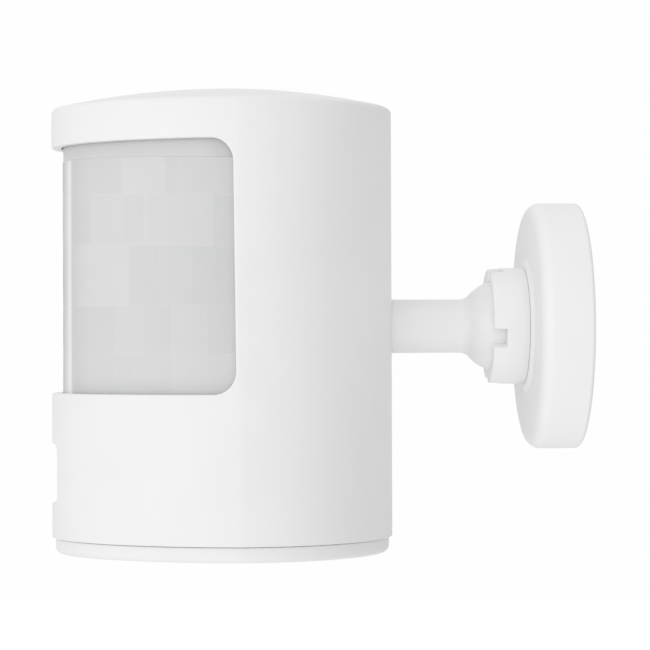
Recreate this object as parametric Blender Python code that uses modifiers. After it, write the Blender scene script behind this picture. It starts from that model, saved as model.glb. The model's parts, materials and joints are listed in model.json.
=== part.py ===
"""Wall-mounted motion sensor on a ball-jointed bracket.

Frame: +Z up, the wall is the plane y = 0, the sensor looks towards -Y.
The origin is the middle of the bracket's back, on the wall and on the axis
of the ball, the stem and the collar. All constants are in millimetres and
mm() turns them into metres. "u" is the distance in front of the wall (u = -y).
"""

import math

import bmesh
import bpy
from mathutils import Matrix, Vector

# ---------------------------------------------------------------- dimensions
# Bracket, along u
DISC_RADIUS = 25.5
DISC_DEPTH = 10.75
DISC_WALL = 1.8
DISC_EDGE = 2.6
LIP_TOP = 11.4
PLATE_RADIUS = 23.2
PLATE_THICK = 2.4
POST_RADIUS = 10.45
POST_TOP = 10.0
BALL_U = 15.55
BALL_RADIUS = 9.67
GAP = 0.3
LINER_THICK = 0.6
LINER_ANGLE = 35.0
COLLAR_LOW = 11.7
COLLAR_RIM = 18.8
COLLAR_RADIUS_LOW = 12.05
COLLAR_RADIUS_RIM = 11.8
COLLAR_BORE = 10.75
NOTCH_WIDTH = 3.7
NOTCH_DEPTH = 2.7
NOTCH_START = -12.7
SCREW_HOLE_Z = 16.5
STEM_RADIUS = 5.5
STEM_RADIUS_HEAD = 5.57
SPIGOT_RADIUS = 3.9
# Head, in plan
HALF_WIDTH = 34.5
CREASE_U = 72.1
FRONT_LENGTH = 37.1
BACK_LENGTH = 33.1
CREASE_ANGLE = 6.9
NOSE_PULL = 0.504
SIDE_PULL = 0.541
WALL = 2.0
# Head, heights above the stem's axis
DOME_TOP = 48.75
RIM_TOP = 44.9
TOP_EDGE = 43.8
WINDOW_TOP = 36.75
WINDOW_SILL = -13.5
WINDOW_CORNER = 4.6
WINDOW_REAR = 0.7
SHELL_BOTTOM = -43.2
SEAM_GAP = 0.4
BASE_INSET = 0.7
BASE_BOTTOM = -46.4
# Lens
LENS_SETBACK = 2.35
LENS_THICK = 0.9
# Test button
BUTTON_Z = -30.0
BUTTON_HALF_WIDTH = 8.1
BUTTON_HALF_HEIGHT = 5.9
BUTTON_CORNER = 2.8
BUTTON_FACE = 1.2
BUTTON_TRAVEL = 0.6
# AA cell
CELL_RADIUS = 7.25
CELL_LENGTH = 50.5
CELL_X = 9.0
CELL_Y = -56.2
CELL_LOW = -41.3

FRONT_U = CREASE_U + FRONT_LENGTH
BACK_U = CREASE_U - BACK_LENGTH
CENTRE_Y = -(FRONT_U + BACK_U) / 2


def mm(*v):
    return Vector(v) * 0.001


# ---------------------------------------------------------------- scene set-up
for old in list(bpy.data.objects):
    bpy.data.objects.remove(old, do_unlink=True)
for old in list(bpy.data.collections):
    bpy.data.collections.remove(old)

PARTS = bpy.data.collections.new("motion_sensor")
CUTTERS = bpy.data.collections.new("cutters")
bpy.context.scene.collection.children.link(PARTS)
bpy.context.scene.collection.children.link(CUTTERS)


def material(name, colour, roughness, metallic=0.0, alpha=1.0):
    m = bpy.data.materials.new(name)
    m.use_nodes = True
    p = m.node_tree.nodes["Principled BSDF"]
    p.inputs["Base Color"].default_value = (*colour, 1.0)
    p.inputs["Roughness"].default_value = roughness
    p.inputs["Metallic"].default_value = metallic
    p.inputs["Alpha"].default_value = alpha
    m.diffuse_color = (*colour, alpha)
    return m


def empty(name, at):
    e = bpy.data.objects.new(name, None)
    e.empty_display_size = 0.01
    e.location = mm(*at)
    PARTS.objects.link(e)
    return e


def hold(obj, parent):
    obj.parent = parent
    obj.matrix_parent_inverse = Matrix.Translation(parent.location).inverted()


def finish(name, bm, mat=None, cutter=False):
    """Makes an object from a bmesh whose points are in millimetres."""
    bmesh.ops.recalc_face_normals(bm, faces=bm.faces)
    bmesh.ops.scale(bm, vec=(0.001, 0.001, 0.001), verts=bm.verts)
    mesh = bpy.data.meshes.new(name)
    bm.to_mesh(mesh)
    bm.free()
    obj = bpy.data.objects.new(name, mesh)
    if cutter:
        CUTTERS.objects.link(obj)
        obj.hide_render = True
        obj.display_type = "WIRE"
    else:
        PARTS.objects.link(obj)
        mesh.materials.append(mat)
        mesh.shade_smooth()
        mesh.set_sharp_from_angle(angle=math.radians(32))
    return obj


def box(name, lo, hi, mat=None, cutter=False, edge=0.0):
    bm = bmesh.new()
    bmesh.ops.create_cube(bm, size=1.0)
    size = [h - l for l, h in zip(lo, hi)]
    mid = [(h + l) / 2 for l, h in zip(lo, hi)]
    bmesh.ops.scale(bm, vec=size, verts=bm.verts)
    bmesh.ops.translate(bm, vec=mid, verts=bm.verts)
    if edge:
        bmesh.ops.bevel(
            bm, geom=list(bm.edges), offset=edge, segments=1, affect="EDGES"
        )
    return finish(name, bm, mat, cutter)


def rod(name, start, axis, length, radius, sides=24, mat=None, cutter=False, end=None):
    """A cylinder, or a cone where end gives its other radius, from start along axis."""
    bm = bmesh.new()
    bmesh.ops.create_cone(
        bm,
        cap_ends=True,
        segments=sides,
        radius1=radius,
        radius2=radius if end is None else end,
        depth=length,
    )
    bmesh.ops.translate(bm, vec=(0, 0, length / 2), verts=bm.verts)
    turn = Vector((0, 0, 1)).rotation_difference(Vector(axis)).to_matrix()
    bmesh.ops.rotate(bm, cent=(0, 0, 0), matrix=turn, verts=bm.verts)
    bmesh.ops.translate(bm, vec=start, verts=bm.verts)
    return finish(name, bm, mat, cutter)


def prism(name, outline, place, low, high, mat=None, cutter=False):
    """A flat outline pushed from low to high; place turns (a, b, c) into x, y, z."""
    bm = bmesh.new()
    face = bm.faces.new([bm.verts.new(place(a, b, low)) for a, b in outline])
    out = bmesh.ops.extrude_face_region(bm, geom=[face])
    moved = [v for v in out["geom"] if isinstance(v, bmesh.types.BMVert)]
    shift = Vector(place(0, 0, high)) - Vector(place(0, 0, low))
    bmesh.ops.translate(bm, vec=shift, verts=moved)
    return finish(name, bm, mat, cutter)


def upright(a, b, c):
    return (a, b, c)


def sideways(a, b, c):
    """Outline in y, z; pushed along x."""
    return (c, a, b)


def forward(a, b, c):
    """Outline in x, z; pushed along y."""
    return (a, c, b)


def button_outline(grow):
    """The button's rounded outline in x, z, grown by so much all round."""
    r = BUTTON_CORNER + grow
    wide = BUTTON_HALF_WIDTH - BUTTON_CORNER
    high = BUTTON_HALF_HEIGHT - BUTTON_CORNER
    points = []
    for sx, sz, start in ((1, 1, 0), (-1, 1, 90), (-1, -1, 180), (1, -1, 270)):
        for i in range(7):
            a = math.radians(start + 15 * i)
            points.append(
                (
                    sx * wide + r * math.cos(a),
                    BUTTON_Z + sz * high + r * math.sin(a),
                )
            )
    return points


def loft(name, rings, mat=None, cutter=False):
    """Closed skin through a stack of sections with the same number of points."""
    bm = bmesh.new()
    loops = [[bm.verts.new(p) for p in ring] for ring in rings]
    count = len(loops[0])
    for lower, upper in zip(loops, loops[1:]):
        for i in range(count):
            j = (i + 1) % count
            bm.faces.new((lower[i], lower[j], upper[j], upper[i]))
    bm.faces.new(list(reversed(loops[0])))
    bm.faces.new(loops[-1])
    return finish(name, bm, mat, cutter)


def turned(name, profile, mat=None, cutter=False, steps=32, closed=False, at=None):
    """A profile of (radius, height) turned about its own Z. Without `at` the
    axis is the bracket's, with height counted as u from the wall; with `at` it
    is the vertical through that point."""
    mesh = bpy.data.meshes.new(name)
    bm = bmesh.new()
    points = [bm.verts.new((r * 0.001, 0, h * 0.001)) for r, h in profile]
    for a, b in zip(points, points[1:]):
        bm.edges.new((a, b))
    if closed:
        bm.edges.new((points[-1], points[0]))
    bm.to_mesh(mesh)
    bm.free()
    obj = bpy.data.objects.new(name, mesh)
    screw = obj.modifiers.new("Screw", "SCREW")
    screw.axis = "Z"
    screw.angle = math.tau
    screw.screw_offset = 0.0
    screw.steps = steps
    screw.render_steps = steps
    screw.use_merge_vertices = True
    screw.merge_threshold = 0.00001
    screw.use_smooth_shade = True
    if at is None:
        obj.rotation_euler = (math.pi / 2, 0, 0)
    else:
        obj.location = mm(*at)
    if cutter:
        CUTTERS.objects.link(obj)
        obj.hide_render = True
        obj.display_type = "WIRE"
    else:
        PARTS.objects.link(obj)
        mesh.materials.append(mat)
    return obj


def boolean(obj, other, operation="DIFFERENCE"):
    m = obj.modifiers.new(other.name, "BOOLEAN")
    m.operation = operation
    m.solver = "EXACT"
    m.object = other
    return obj


def wire(name, points, radius, mat):
    """A round wire through the given points, in millimetres."""
    curve = bpy.data.curves.new(name, "CURVE")
    curve.dimensions = "3D"
    curve.bevel_depth = radius * 0.001
    curve.bevel_resolution = 1
    curve.use_fill_caps = True
    spline = curve.splines.new("POLY")
    spline.points.add(len(points) - 1)
    for p, q in zip(spline.points, points):
        p.co = (*mm(*q), 1.0)
    curve.materials.append(mat)
    obj = bpy.data.objects.new(name, curve)
    PARTS.objects.link(obj)
    return obj


def coil(at, low, high, r_low, r_high, turns, per_turn=10):
    count = int(turns * per_turn)
    out = []
    for i in range(count + 1):
        t = i / count
        a = math.tau * turns * t
        r = r_low + (r_high - r_low) * t
        out.append(
            (at[0] + r * math.cos(a), at[1] + r * math.sin(a), low + (high - low) * t)
        )
    return out


# ---------------------------------------------------------------- plan of the head
def half_plan(front_steps=13, back_steps=11):
    """(x, y, normal) down the +X side, from the middle of the front to the middle
    of the back: a Bezier nose up to the crease, then half an ellipse."""
    a, w = FRONT_LENGTH, HALF_WIDTH
    slope = math.radians(CREASE_ANGLE)
    p0 = Vector((0, -a))
    p1 = Vector((NOSE_PULL * w, -a))
    p3 = Vector((w, 0))
    p2 = p3 - SIDE_PULL * a * Vector((math.sin(slope), math.cos(slope)))
    points = []
    for i in range(front_steps + 1):
        t = i / front_steps
        s = 1 - t
        p = s**3 * p0 + 3 * s * s * t * p1 + 3 * s * t * t * p2 + t**3 * p3
        d = s * s * (p1 - p0) + 2 * s * t * (p2 - p1) + t * t * (p3 - p2)
        n = Vector((d.y, -d.x)).normalized()
        points.append((p, n))
    p, n = points[-1]
    points[-1] = (p, (n + Vector((1, 0))).normalized())
    for i in range(1, back_steps + 1):
        t = math.pi / 2 * i / back_steps
        p = Vector((w * math.cos(t), BACK_LENGTH * math.sin(t)))
        n = Vector((math.cos(t) / w, math.sin(t) / BACK_LENGTH)).normalized()
        points.append((p, n))
    return [(p + Vector((0, -CREASE_U)), n) for p, n in points]


HALF = half_plan()


def plan(inset=0.0, shrink=1.0):
    """The closed plan, counter-clockwise from the middle of the front, moved in by
    inset and then scaled about the middle of the head."""
    right = [p - n * inset for p, n in HALF]
    left = [Vector((-p.x, p.y)) for p in reversed(right[1:-1])]
    centre = Vector((0, CENTRE_Y))
    return [centre + (p - centre) * shrink for p in right + left]


def ring(inset, z, shrink=1.0):
    return [(p.x, p.y, z) for p in plan(inset, shrink)]


def arc(inset_out, inset_in, y_end):
    """The band between two insets round the front, out to y_end on both sides."""

    def side(inset):
        pts = [p - n * inset for p, n in HALF]
        keep = [p for p in pts if p.y < y_end]
        a, b = keep[-1], pts[len(keep)]
        t = (y_end - a.y) / (b.y - a.y)
        return keep + [a + (b - a) * t]

    outer, inner = side(inset_out), side(inset_in)
    line = (
        [(-p.x, p.y) for p in reversed(outer[1:])]
        + [(p.x, p.y) for p in outer]
        + [(p.x, p.y) for p in reversed(inner[1:])]
        + [(inner[0].x, inner[0].y)]
        + [(-p.x, p.y) for p in inner[1:]]
    )
    return line


def dome(z_rim, z_top, shrink):
    return z_rim + (z_top - z_rim) * (1 - shrink * shrink)


# ---------------------------------------------------------------- materials
shell_white = material("shell_white", (0.86, 0.86, 0.86), 0.38)
base_white = material("base_white", (0.84, 0.84, 0.84), 0.42)
button_white = material("button_white", (0.86, 0.86, 0.86), 0.35)
lens_milk = material("lens_milk", (0.80, 0.81, 0.82), 0.45, 0.0, 0.9)
bracket_white = material("bracket_white", (0.85, 0.85, 0.85), 0.42)
plate_white = material("plate_white", (0.82, 0.82, 0.82), 0.5)
collar_white = material("collar_white", (0.85, 0.85, 0.85), 0.4)
stem_white = material("stem_white", (0.85, 0.85, 0.85), 0.38)
liner_nylon = material("liner_nylon", (0.75, 0.75, 0.73), 0.55)
frame_grey = material("frame_grey", (0.62, 0.63, 0.64), 0.55)
chassis_grey = material("chassis_grey", (0.55, 0.56, 0.57), 0.6)
tray_grey = material("tray_grey", (0.5, 0.51, 0.52), 0.6)
board_green = material("board_green", (0.03, 0.20, 0.08), 0.45)
button_board_green = material("button_board_green", (0.03, 0.19, 0.08), 0.45)
chip_black = material("chip_black", (0.02, 0.02, 0.022), 0.5)
can_nickel = material("can_nickel", (0.72, 0.70, 0.64), 0.28, 1.0)
filter_dark = material("filter_dark", (0.09, 0.09, 0.11), 0.12)
stand_black = material("stand_black", (0.03, 0.03, 0.03), 0.5)
shield_tin = material("shield_tin", (0.70, 0.70, 0.70), 0.35, 1.0)
coil_gold = material("coil_gold", (0.80, 0.62, 0.30), 0.3, 1.0)
cap_black = material("cap_black", (0.03, 0.03, 0.05), 0.4)
led_red = material("led_red", (0.75, 0.06, 0.05), 0.15)
switch_black = material("switch_black", (0.03, 0.03, 0.03), 0.45)
plunger_black = material("plunger_black", (0.04, 0.04, 0.04), 0.4)
tamper_black = material("tamper_black", (0.03, 0.03, 0.035), 0.45)
tamper_white = material("tamper_white", (0.75, 0.75, 0.72), 0.4)
ribbon_grey = material("ribbon_grey", (0.55, 0.55, 0.58), 0.5)
cell_left_skin = material("cell_left_skin", (0.18, 0.20, 0.24), 0.3)
cell_right_skin = material("cell_right_skin", (0.18, 0.20, 0.24), 0.3)
contact_nickel = material("contact_nickel", (0.72, 0.71, 0.68), 0.3, 1.0)
spring_nickel = material("spring_nickel", (0.70, 0.69, 0.66), 0.3, 1.0)
cap_strip_nickel = material("cap_strip_nickel", (0.72, 0.71, 0.68), 0.3, 1.0)
cap_spring_nickel = material("cap_spring_nickel", (0.70, 0.69, 0.66), 0.3, 1.0)
screw_zinc = material("screw_zinc", (0.66, 0.66, 0.67), 0.3, 1.0)
washer_steel = material("washer_steel", (0.60, 0.60, 0.60), 0.35, 1.0)
nut_steel = material("nut_steel", (0.60, 0.60, 0.61), 0.32, 1.0)

# ---------------------------------------------------------------- joint axes
ball_pivot = empty("ball_pivot", (0, -BALL_U, 0))
stem_axis = empty("stem_axis", (0, -(BACK_U + 2.5), 0))
button_axis = empty("button_axis", (0, -FRONT_U + 3, BUTTON_Z))
tamper_axis = empty("tamper_axis", (21, -70.3, -38))
base_axis = empty("base_axis", (0, CENTRE_Y, SHELL_BOTTOM))
collar_axis = empty("collar_axis", (0, -COLLAR_LOW, 0))
hold(stem_axis, ball_pivot)
for part_of_head in (button_axis, tamper_axis, base_axis):
    hold(part_of_head, stem_axis)

# ---------------------------------------------------------------- wall bracket
seat = BALL_RADIUS + 2 * GAP + LINER_THICK


def sphere_arc(radius, start, stop, count):
    """(r, u) on a sphere round the ball's centre; angles are from the wall-side pole."""
    out = []
    for i in range(count + 1):
        a = math.radians(start + (stop - start) * i / count)
        out.append((radius * math.sin(a), BALL_U - radius * math.cos(a)))
    return out


# Plate on the wall with the post whose cup carries the ball.
cup_edge = math.degrees(math.acos((BALL_U - POST_TOP) / seat))
cup = sphere_arc(seat, 0, cup_edge, 5)
base_plate = turned(
    "base_plate",
    [(0.0, cup[0][1])]
    + cup[1:]
    + [
        (POST_RADIUS - 0.4, POST_TOP),
        (POST_RADIUS, POST_TOP - 0.4),
        (POST_RADIUS, PLATE_THICK),
        (PLATE_RADIUS - 0.4, PLATE_THICK),
        (PLATE_RADIUS, PLATE_THICK - 0.4),
        (PLATE_RADIUS, 0.0),
        (0.0, 0.0),
    ],
    plate_white,
)
for side in (1, -1):
    hole = rod(
        f"wall_hole_{side}",
        (0, 1, side * SCREW_HOLE_Z),
        (0, -1, 0),
        PLATE_THICK + 2,
        2.2,
        20,
        cutter=True,
    )
    sink = rod(
        f"wall_sink_{side}",
        (0, -0.9, side * SCREW_HOLE_Z),
        (0, -1, 0),
        2.2,
        2.3,
        20,
        cutter=True,
        end=4.5,
    )
    boolean(base_plate, hole)
    boolean(base_plate, sink)

# Round cover that hides the plate and its screws, with a lip round the collar.
inner = DISC_RADIUS - DISC_WALL
top_in = DISC_DEPTH - DISC_WALL
hole_r = COLLAR_RADIUS_LOW - 0.2
edge = [
    (
        DISC_RADIUS - DISC_EDGE + DISC_EDGE * math.sin(math.radians(a)),
        DISC_DEPTH - DISC_EDGE + DISC_EDGE * math.cos(math.radians(a)),
    )
    for a in (0, 30, 60, 90)
]
cover_disc = turned(
    "cover_disc",
    [(hole_r, LIP_TOP), (hole_r + 0.9, LIP_TOP), (hole_r + 1.4, LIP_TOP - 0.6)]
    + [(hole_r + 2.1, DISC_DEPTH)]
    + edge
    + [(DISC_RADIUS, 1.2), (DISC_RADIUS - 0.35, 0.35), (DISC_RADIUS - 1.0, 0.0)]
    + [(inner, 0.0), (inner, top_in - 1.0), (inner - 1.0, top_in), (hole_r, top_in)],
    bracket_white,
    closed=True,
)

# Collar nut: its lip holds the ball in, its skirt runs down round the post.
grip = BALL_RADIUS + GAP
lip_angle = math.degrees(math.acos((BALL_U - COLLAR_RIM) / grip))
lip = sphere_arc(grip, 92, lip_angle, 3)
skirt_r = hole_r - GAP
collar_nut = turned(
    "collar_nut",
    [
        (lip[-1][0] + 0.25, COLLAR_RIM),
        (COLLAR_RADIUS_RIM - 0.5, COLLAR_RIM),
        (COLLAR_RADIUS_RIM - 0.12, COLLAR_RIM - 0.14),
        (COLLAR_RADIUS_RIM, COLLAR_RIM - 0.5),
        (COLLAR_RADIUS_LOW, COLLAR_RIM - 3.6),
        (COLLAR_RADIUS_LOW, COLLAR_LOW),
        (skirt_r, COLLAR_LOW),
        (skirt_r, 4.6),
        (COLLAR_BORE, 4.6),
        (COLLAR_BORE, 14.6),
    ]
    + lip[:-1]
    + [(lip[-1][0], COLLAR_RIM - 0.2)],
    collar_white,
    closed=True,
)
for k in range(4):
    a = math.radians(NOTCH_START + 90 * k)
    bm = bmesh.new()
    bmesh.ops.create_cube(bm, size=1.0)
    bmesh.ops.scale(bm, vec=(6.0, NOTCH_DEPTH + 2, NOTCH_WIDTH), verts=bm.verts)
    bmesh.ops.translate(
        bm,
        vec=(10.9, -(COLLAR_RIM - NOTCH_DEPTH / 2 + 1), 0),
        verts=bm.verts,
    )
    bmesh.ops.rotate(
        bm, cent=(0, 0, 0), matrix=Matrix.Rotation(-a, 3, "Y"), verts=bm.verts
    )
    boolean(collar_nut, finish(f"notch_{k}", bm, cutter=True))
hold(collar_nut, collar_axis)

# Thin liner cup between the ball and its seat.
liner_in = sphere_arc(BALL_RADIUS + GAP, 0, LINER_ANGLE, 4)
liner_out = sphere_arc(BALL_RADIUS + GAP + LINER_THICK, LINER_ANGLE, 0, 4)
socket_liner = turned(
    "socket_liner",
    liner_in + liner_out,
    liner_nylon,
    steps=24,
)
hold(socket_liner, ball_pivot)

# ---------------------------------------------------------------- ball and stem
join = math.degrees(math.asin(STEM_RADIUS / BALL_RADIUS))
shoulder = BACK_U + 1.2
spigot_end = BACK_U + 9.9
ball_stem = turned(
    "ball_stem",
    [
        (0.0, spigot_end),
        (SPIGOT_RADIUS - 0.5, spigot_end),
        (SPIGOT_RADIUS, spigot_end - 0.5),
        (SPIGOT_RADIUS, shoulder),
        (STEM_RADIUS_HEAD, shoulder),
        (STEM_RADIUS, BALL_U + 9.6),
        (STEM_RADIUS + 0.12, BALL_U + 8.7),
        (STEM_RADIUS + 0.45, BALL_U + 8.0),
    ]
    + [
        (r, u)
        for r, u in sphere_arc(BALL_RADIUS, 180 - join - 8, 0, 12)[:-1]
    ]
    + [(0.0, BALL_U - BALL_RADIUS)],
    stem_white,
)
hold(ball_stem, ball_pivot)

stem_washer = turned(
    "stem_washer",
    [(SPIGOT_RADIUS + 0.3, BACK_U + 5.3), (7.6, BACK_U + 5.3)]
    + [(7.6, BACK_U + 4.3), (SPIGOT_RADIUS + 0.3, BACK_U + 4.3)],
    washer_steel,
    steps=24,
    closed=True,
)
hold(stem_washer, ball_pivot)
stem_nut = rod(
    "stem_nut",
    (0, -(BACK_U + 5.6), 0),
    (0, -1, 0),
    3.5,
    6.9,
    6,
    nut_steel,
)
boolean(
    stem_nut,
    rod(
        "nut_hole",
        (0, -(BACK_U + 5), 0),
        (0, -1, 0),
        6,
        SPIGOT_RADIUS + 0.3,
        24,
        cutter=True,
    ),
)
hold(stem_nut, ball_pivot)

# ---------------------------------------------------------------- housing shell
FILLET = RIM_TOP - TOP_EDGE
outer_rings = [
    ring(0.3, SHELL_BOTTOM),
    ring(0.0, SHELL_BOTTOM + 0.3),
    ring(0.0, TOP_EDGE),
    ring(0.15, TOP_EDGE + 0.55),
    ring(0.5, TOP_EDGE + 0.93),
    ring(0.95, RIM_TOP + 0.08),
]
for s in (0.85, 0.6, 0.35, 0.1):
    outer_rings.append(ring(0.0, dome(RIM_TOP, DOME_TOP, s), s))
housing_shell = loft("housing_shell", outer_rings, shell_white)
inner_rings = [
    ring(WALL, SHELL_BOTTOM - 4),
    ring(WALL, RIM_TOP - 2.6),
    ring(WALL + 0.7, RIM_TOP - WALL),
]
for s in (0.8, 0.5, 0.2):
    inner_rings.append(ring(0.0, dome(RIM_TOP, DOME_TOP, s) - WALL, s))
boolean(housing_shell, loft("shell_inside", inner_rings, cutter=True))

# Window round the whole front half, with round corners at its two back ends.
rear = -CREASE_U - WINDOW_REAR
window = [(-130.0, WINDOW_SILL), (rear - WINDOW_CORNER, WINDOW_SILL)]
for i in range(1, 7):
    a = math.radians(-90 + 90 * i / 6)
    window.append(
        (
            rear - WINDOW_CORNER + WINDOW_CORNER * math.cos(a),
            WINDOW_SILL + WINDOW_CORNER + WINDOW_CORNER * math.sin(a),
        )
    )
for i in range(0, 7):
    a = math.radians(90 * i / 6)
    window.append(
        (
            rear - WINDOW_CORNER + WINDOW_CORNER * math.cos(a),
            WINDOW_TOP - WINDOW_CORNER + WINDOW_CORNER * math.sin(a),
        )
    )
window.append((-130.0, WINDOW_TOP))
boolean(
    housing_shell, prism("window_cut", window, sideways, -45, 45, cutter=True)
)

# Guide ring behind the button and the boss behind the stem's hole.
button_guide = prism(
    "button_guide",
    button_outline(2.5),
    forward,
    -FRONT_U,
    -FRONT_U + 3.9,
    cutter=True,
)
boolean(
    button_guide,
    loft(
        "guide_front",
        [ring(0.4, BUTTON_Z - 12), ring(0.4, BUTTON_Z + 12)],
        cutter=True,
    ),
    "INTERSECT",
)
boolean(housing_shell, button_guide, "UNION")
boolean(
    housing_shell,
    prism(
        "button_hole",
        button_outline(0.3),
        forward,
        -FRONT_U - 2,
        -FRONT_U + 6,
        cutter=True,
    ),
)
boolean(
    housing_shell,
    rod(
        "stem_boss",
        (0, -BACK_U - 1.3, 0),
        (0, -1, 0),
        2.7,
        9.0,
        28,
        cutter=True,
    ),
    "UNION",
)
boolean(
    housing_shell,
    rod(
        "stem_seat",
        (0, -BACK_U + 2, 0),
        (0, -1, 0),
        3.5,
        STEM_RADIUS_HEAD + 0.3,
        40,
        cutter=True,
    ),
)
boolean(
    housing_shell,
    rod(
        "stem_hole",
        (0, -BACK_U + 2, 0),
        (0, -1, 0),
        8,
        SPIGOT_RADIUS + 0.3,
        32,
        cutter=True,
    ),
)

# Two screw bosses low on the side walls.
BOSS_X, BOSS_Y = 26.5, -62.0
for side in (1, -1):
    boolean(
        housing_shell,
        rod(
            f"boss_{side}",
            (side * BOSS_X, BOSS_Y, -37.8),
            (0, 0, 1),
            12.8,
            3.0,
            20,
            cutter=True,
        ),
        "UNION",
    )
    x = sorted((side * BOSS_X, side * 31.6))
    boolean(
        housing_shell,
        box(
            f"boss_web_{side}",
            (x[0], BOSS_Y - 1.0, -37.6),
            (x[1], BOSS_Y + 1.0, -25.2),
            cutter=True,
        ),
        "UNION",
    )
    boolean(
        housing_shell,
        rod(
            f"boss_hole_{side}",
            (side * BOSS_X, BOSS_Y, -39),
            (0, 0, 1),
            11,
            1.4,
            16,
            cutter=True,
        ),
    )
hold(housing_shell, stem_axis)

# ---------------------------------------------------------------- lens and frame
fresnel_lens = prism(
    "fresnel_lens",
    arc(LENS_SETBACK, LENS_SETBACK + LENS_THICK, -70.4),
    upright,
    WINDOW_SILL - 2.9,
    WINDOW_TOP + 2.9,
    lens_milk,
)
hold(fresnel_lens, stem_axis)
lens_frame = prism(
    "lens_frame",
    arc(LENS_SETBACK + LENS_THICK + 0.35, LENS_SETBACK + LENS_THICK + 1.75, -69.3),
    upright,
    WINDOW_SILL - 4.2,
    WINDOW_TOP + 4.2,
    frame_grey,
)
boolean(
    lens_frame,
    box(
        "frame_opening",
        (-45, -130, WINDOW_SILL - 1.0),
        (45, -71.9, WINDOW_TOP + 1.0),
        cutter=True,
    ),
)
hold(lens_frame, stem_axis)

# ---------------------------------------------------------------- chassis
chassis = box("chassis", (-31.4, -67.0, -38.1), (31.4, -65.0, 40.0), chassis_grey)
for side in (1, -1):
    x = sorted((side * 8.5, side * 10.0))
    boolean(
        chassis,
        box(
            f"rib_{side}", (x[0], -92.4, -37.0), (x[1], -66.0, -23.0), cutter=True
        ),
        "UNION",
    )
    x = sorted((side * 23.2, side * 28.5))
    boolean(
        chassis,
        box(
            f"ear_{side}", (x[0], -66.0, -40.1), (x[1], -58.7, -38.1), cutter=True
        ),
        "UNION",
    )
    boolean(
        chassis,
        box(
            f"ear_root_{side}", (x[0], -66.9, -40.1), (x[1], -65.1, -37.0), cutter=True
        ),
        "UNION",
    )
    boolean(
        chassis,
        rod(
            f"ear_hole_{side}",
            (side * BOSS_X, BOSS_Y, -42),
            (0, 0, 1),
            6,
            1.45,
            16,
            cutter=True,
        ),
    )
PCB_SCREWS = (("upper", 21.0, 33.0), ("lower", -21.0, -14.5))
for name, x, z in PCB_SCREWS:
    boolean(
        chassis,
        rod(f"post_{name}", (x, -66.5, z), (0, -1, 0), 2.5, 2.4, 16, cutter=True),
        "UNION",
    )
    boolean(
        chassis,
        rod(f"post_hole_{name}", (x, -65.8, z), (0, -1, 0), 5, 1.2, 12, cutter=True),
    )
hold(chassis, stem_axis)
for side, name in ((1, "right"), (-1, "left")):
    screw = rod(
        f"chassis_screw_{name}",
        (side * BOSS_X, BOSS_Y, -42.2),
        (0, 0, 1),
        1.8,
        2.3,
        20,
        screw_zinc,
        end=2.1,
    )
    boolean(
        screw,
        rod(
            f"chassis_shank_{name}",
            (side * BOSS_X, BOSS_Y, -41.0),
            (0, 0, 1),
            11.5,
            1.1,
            14,
            cutter=True,
        ),
        "UNION",
    )
    boolean(
        screw,
        box(
            f"chassis_slot_{name}",
            (side * BOSS_X - 1.5, BOSS_Y - 0.3, -42.7),
            (side * BOSS_X + 1.5, BOSS_Y + 0.3, -41.5),
            cutter=True,
        ),
    )
    hold(screw, stem_axis)

# ---------------------------------------------------------------- main board
PCB_FRONT = -70.9
main_pcb = box("main_pcb", (-25, PCB_FRONT, -18), (25, PCB_FRONT + 1.6, 37), board_green)
for name, x, z in PCB_SCREWS:
    boolean(
        main_pcb,
        rod(f"pcb_hole_{name}", (x, -68, z), (0, -1, 0), 4, 1.25, 12, cutter=True),
    )
    screw = rod(
        f"pcb_screw_{name}", (x, PCB_FRONT - 0.3, z), (0, -1, 0), 1.3, 2.0, 16, screw_zinc
    )
    boolean(
        screw,
        rod(
            f"pcb_shank_{name}",
            (x, -66.3, z),
            (0, -1, 0),
            5.4,
            0.9,
            10,
            cutter=True,
        ),
        "UNION",
    )
    boolean(
        screw,
        box(
            f"pcb_slot_{name}",
            (x - 1.3, PCB_FRONT - 2.2, z - 0.25),
            (x + 1.3, PCB_FRONT - 1.1, z + 0.25),
            cutter=True,
        ),
    )
    hold(screw, stem_axis)
hold(main_pcb, stem_axis)

ON = PCB_FRONT - 0.3
PIR_Z = (WINDOW_TOP + WINDOW_SILL) / 2
pir_stand = rod("pir_stand", (0, ON, PIR_Z), (0, -1, 0), 3.0, 5.0, 24, stand_black)
pir_can = rod("pir_can", (0, ON - 3.3, PIR_Z), (0, -1, 0), 0.5, 4.6, 32, can_nickel)
boolean(
    pir_can,
    rod("can_body", (0, ON - 3.5, PIR_Z), (0, -1, 0), 4.1, 4.1, 32, cutter=True),
    "UNION",
)
can_face = ON - 7.6
boolean(
    pir_can,
    box(
        "can_window",
        (-2.2, can_face - 1, PIR_Z - 1.8),
        (2.2, can_face + 0.8, PIR_Z + 1.8),
        cutter=True,
    ),
)
pir_filter = box(
    "pir_filter",
    (-1.9, can_face + 0.05, PIR_Z - 1.5),
    (1.9, can_face + 0.5, PIR_Z + 1.5),
    filter_dark,
)
mcu_chip = box(
    "mcu_chip", (8.5, ON - 1.1, -9.5), (15.5, ON, -2.5), chip_black, edge=0.2
)
rf_shield = box(
    "rf_shield", (-20, ON - 2.2, -10), (-6, ON, 1), shield_tin, edge=0.3
)
capacitor = rod("capacitor", (-17, ON, 21), (0, -1, 0), 7.0, 2.5, 24, cap_black)
status_led = rod("status_led", (0, ON, -2), (0, -1, 0), 3.6, 1.5, 16, led_red)
bm = bmesh.new()
bmesh.ops.create_uvsphere(bm, u_segments=16, v_segments=8, radius=1.497)
bmesh.ops.translate(bm, vec=(0, ON - 3.55, -2), verts=bm.verts)
boolean(status_led, finish("led_dome", bm, cutter=True), "UNION")
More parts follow.
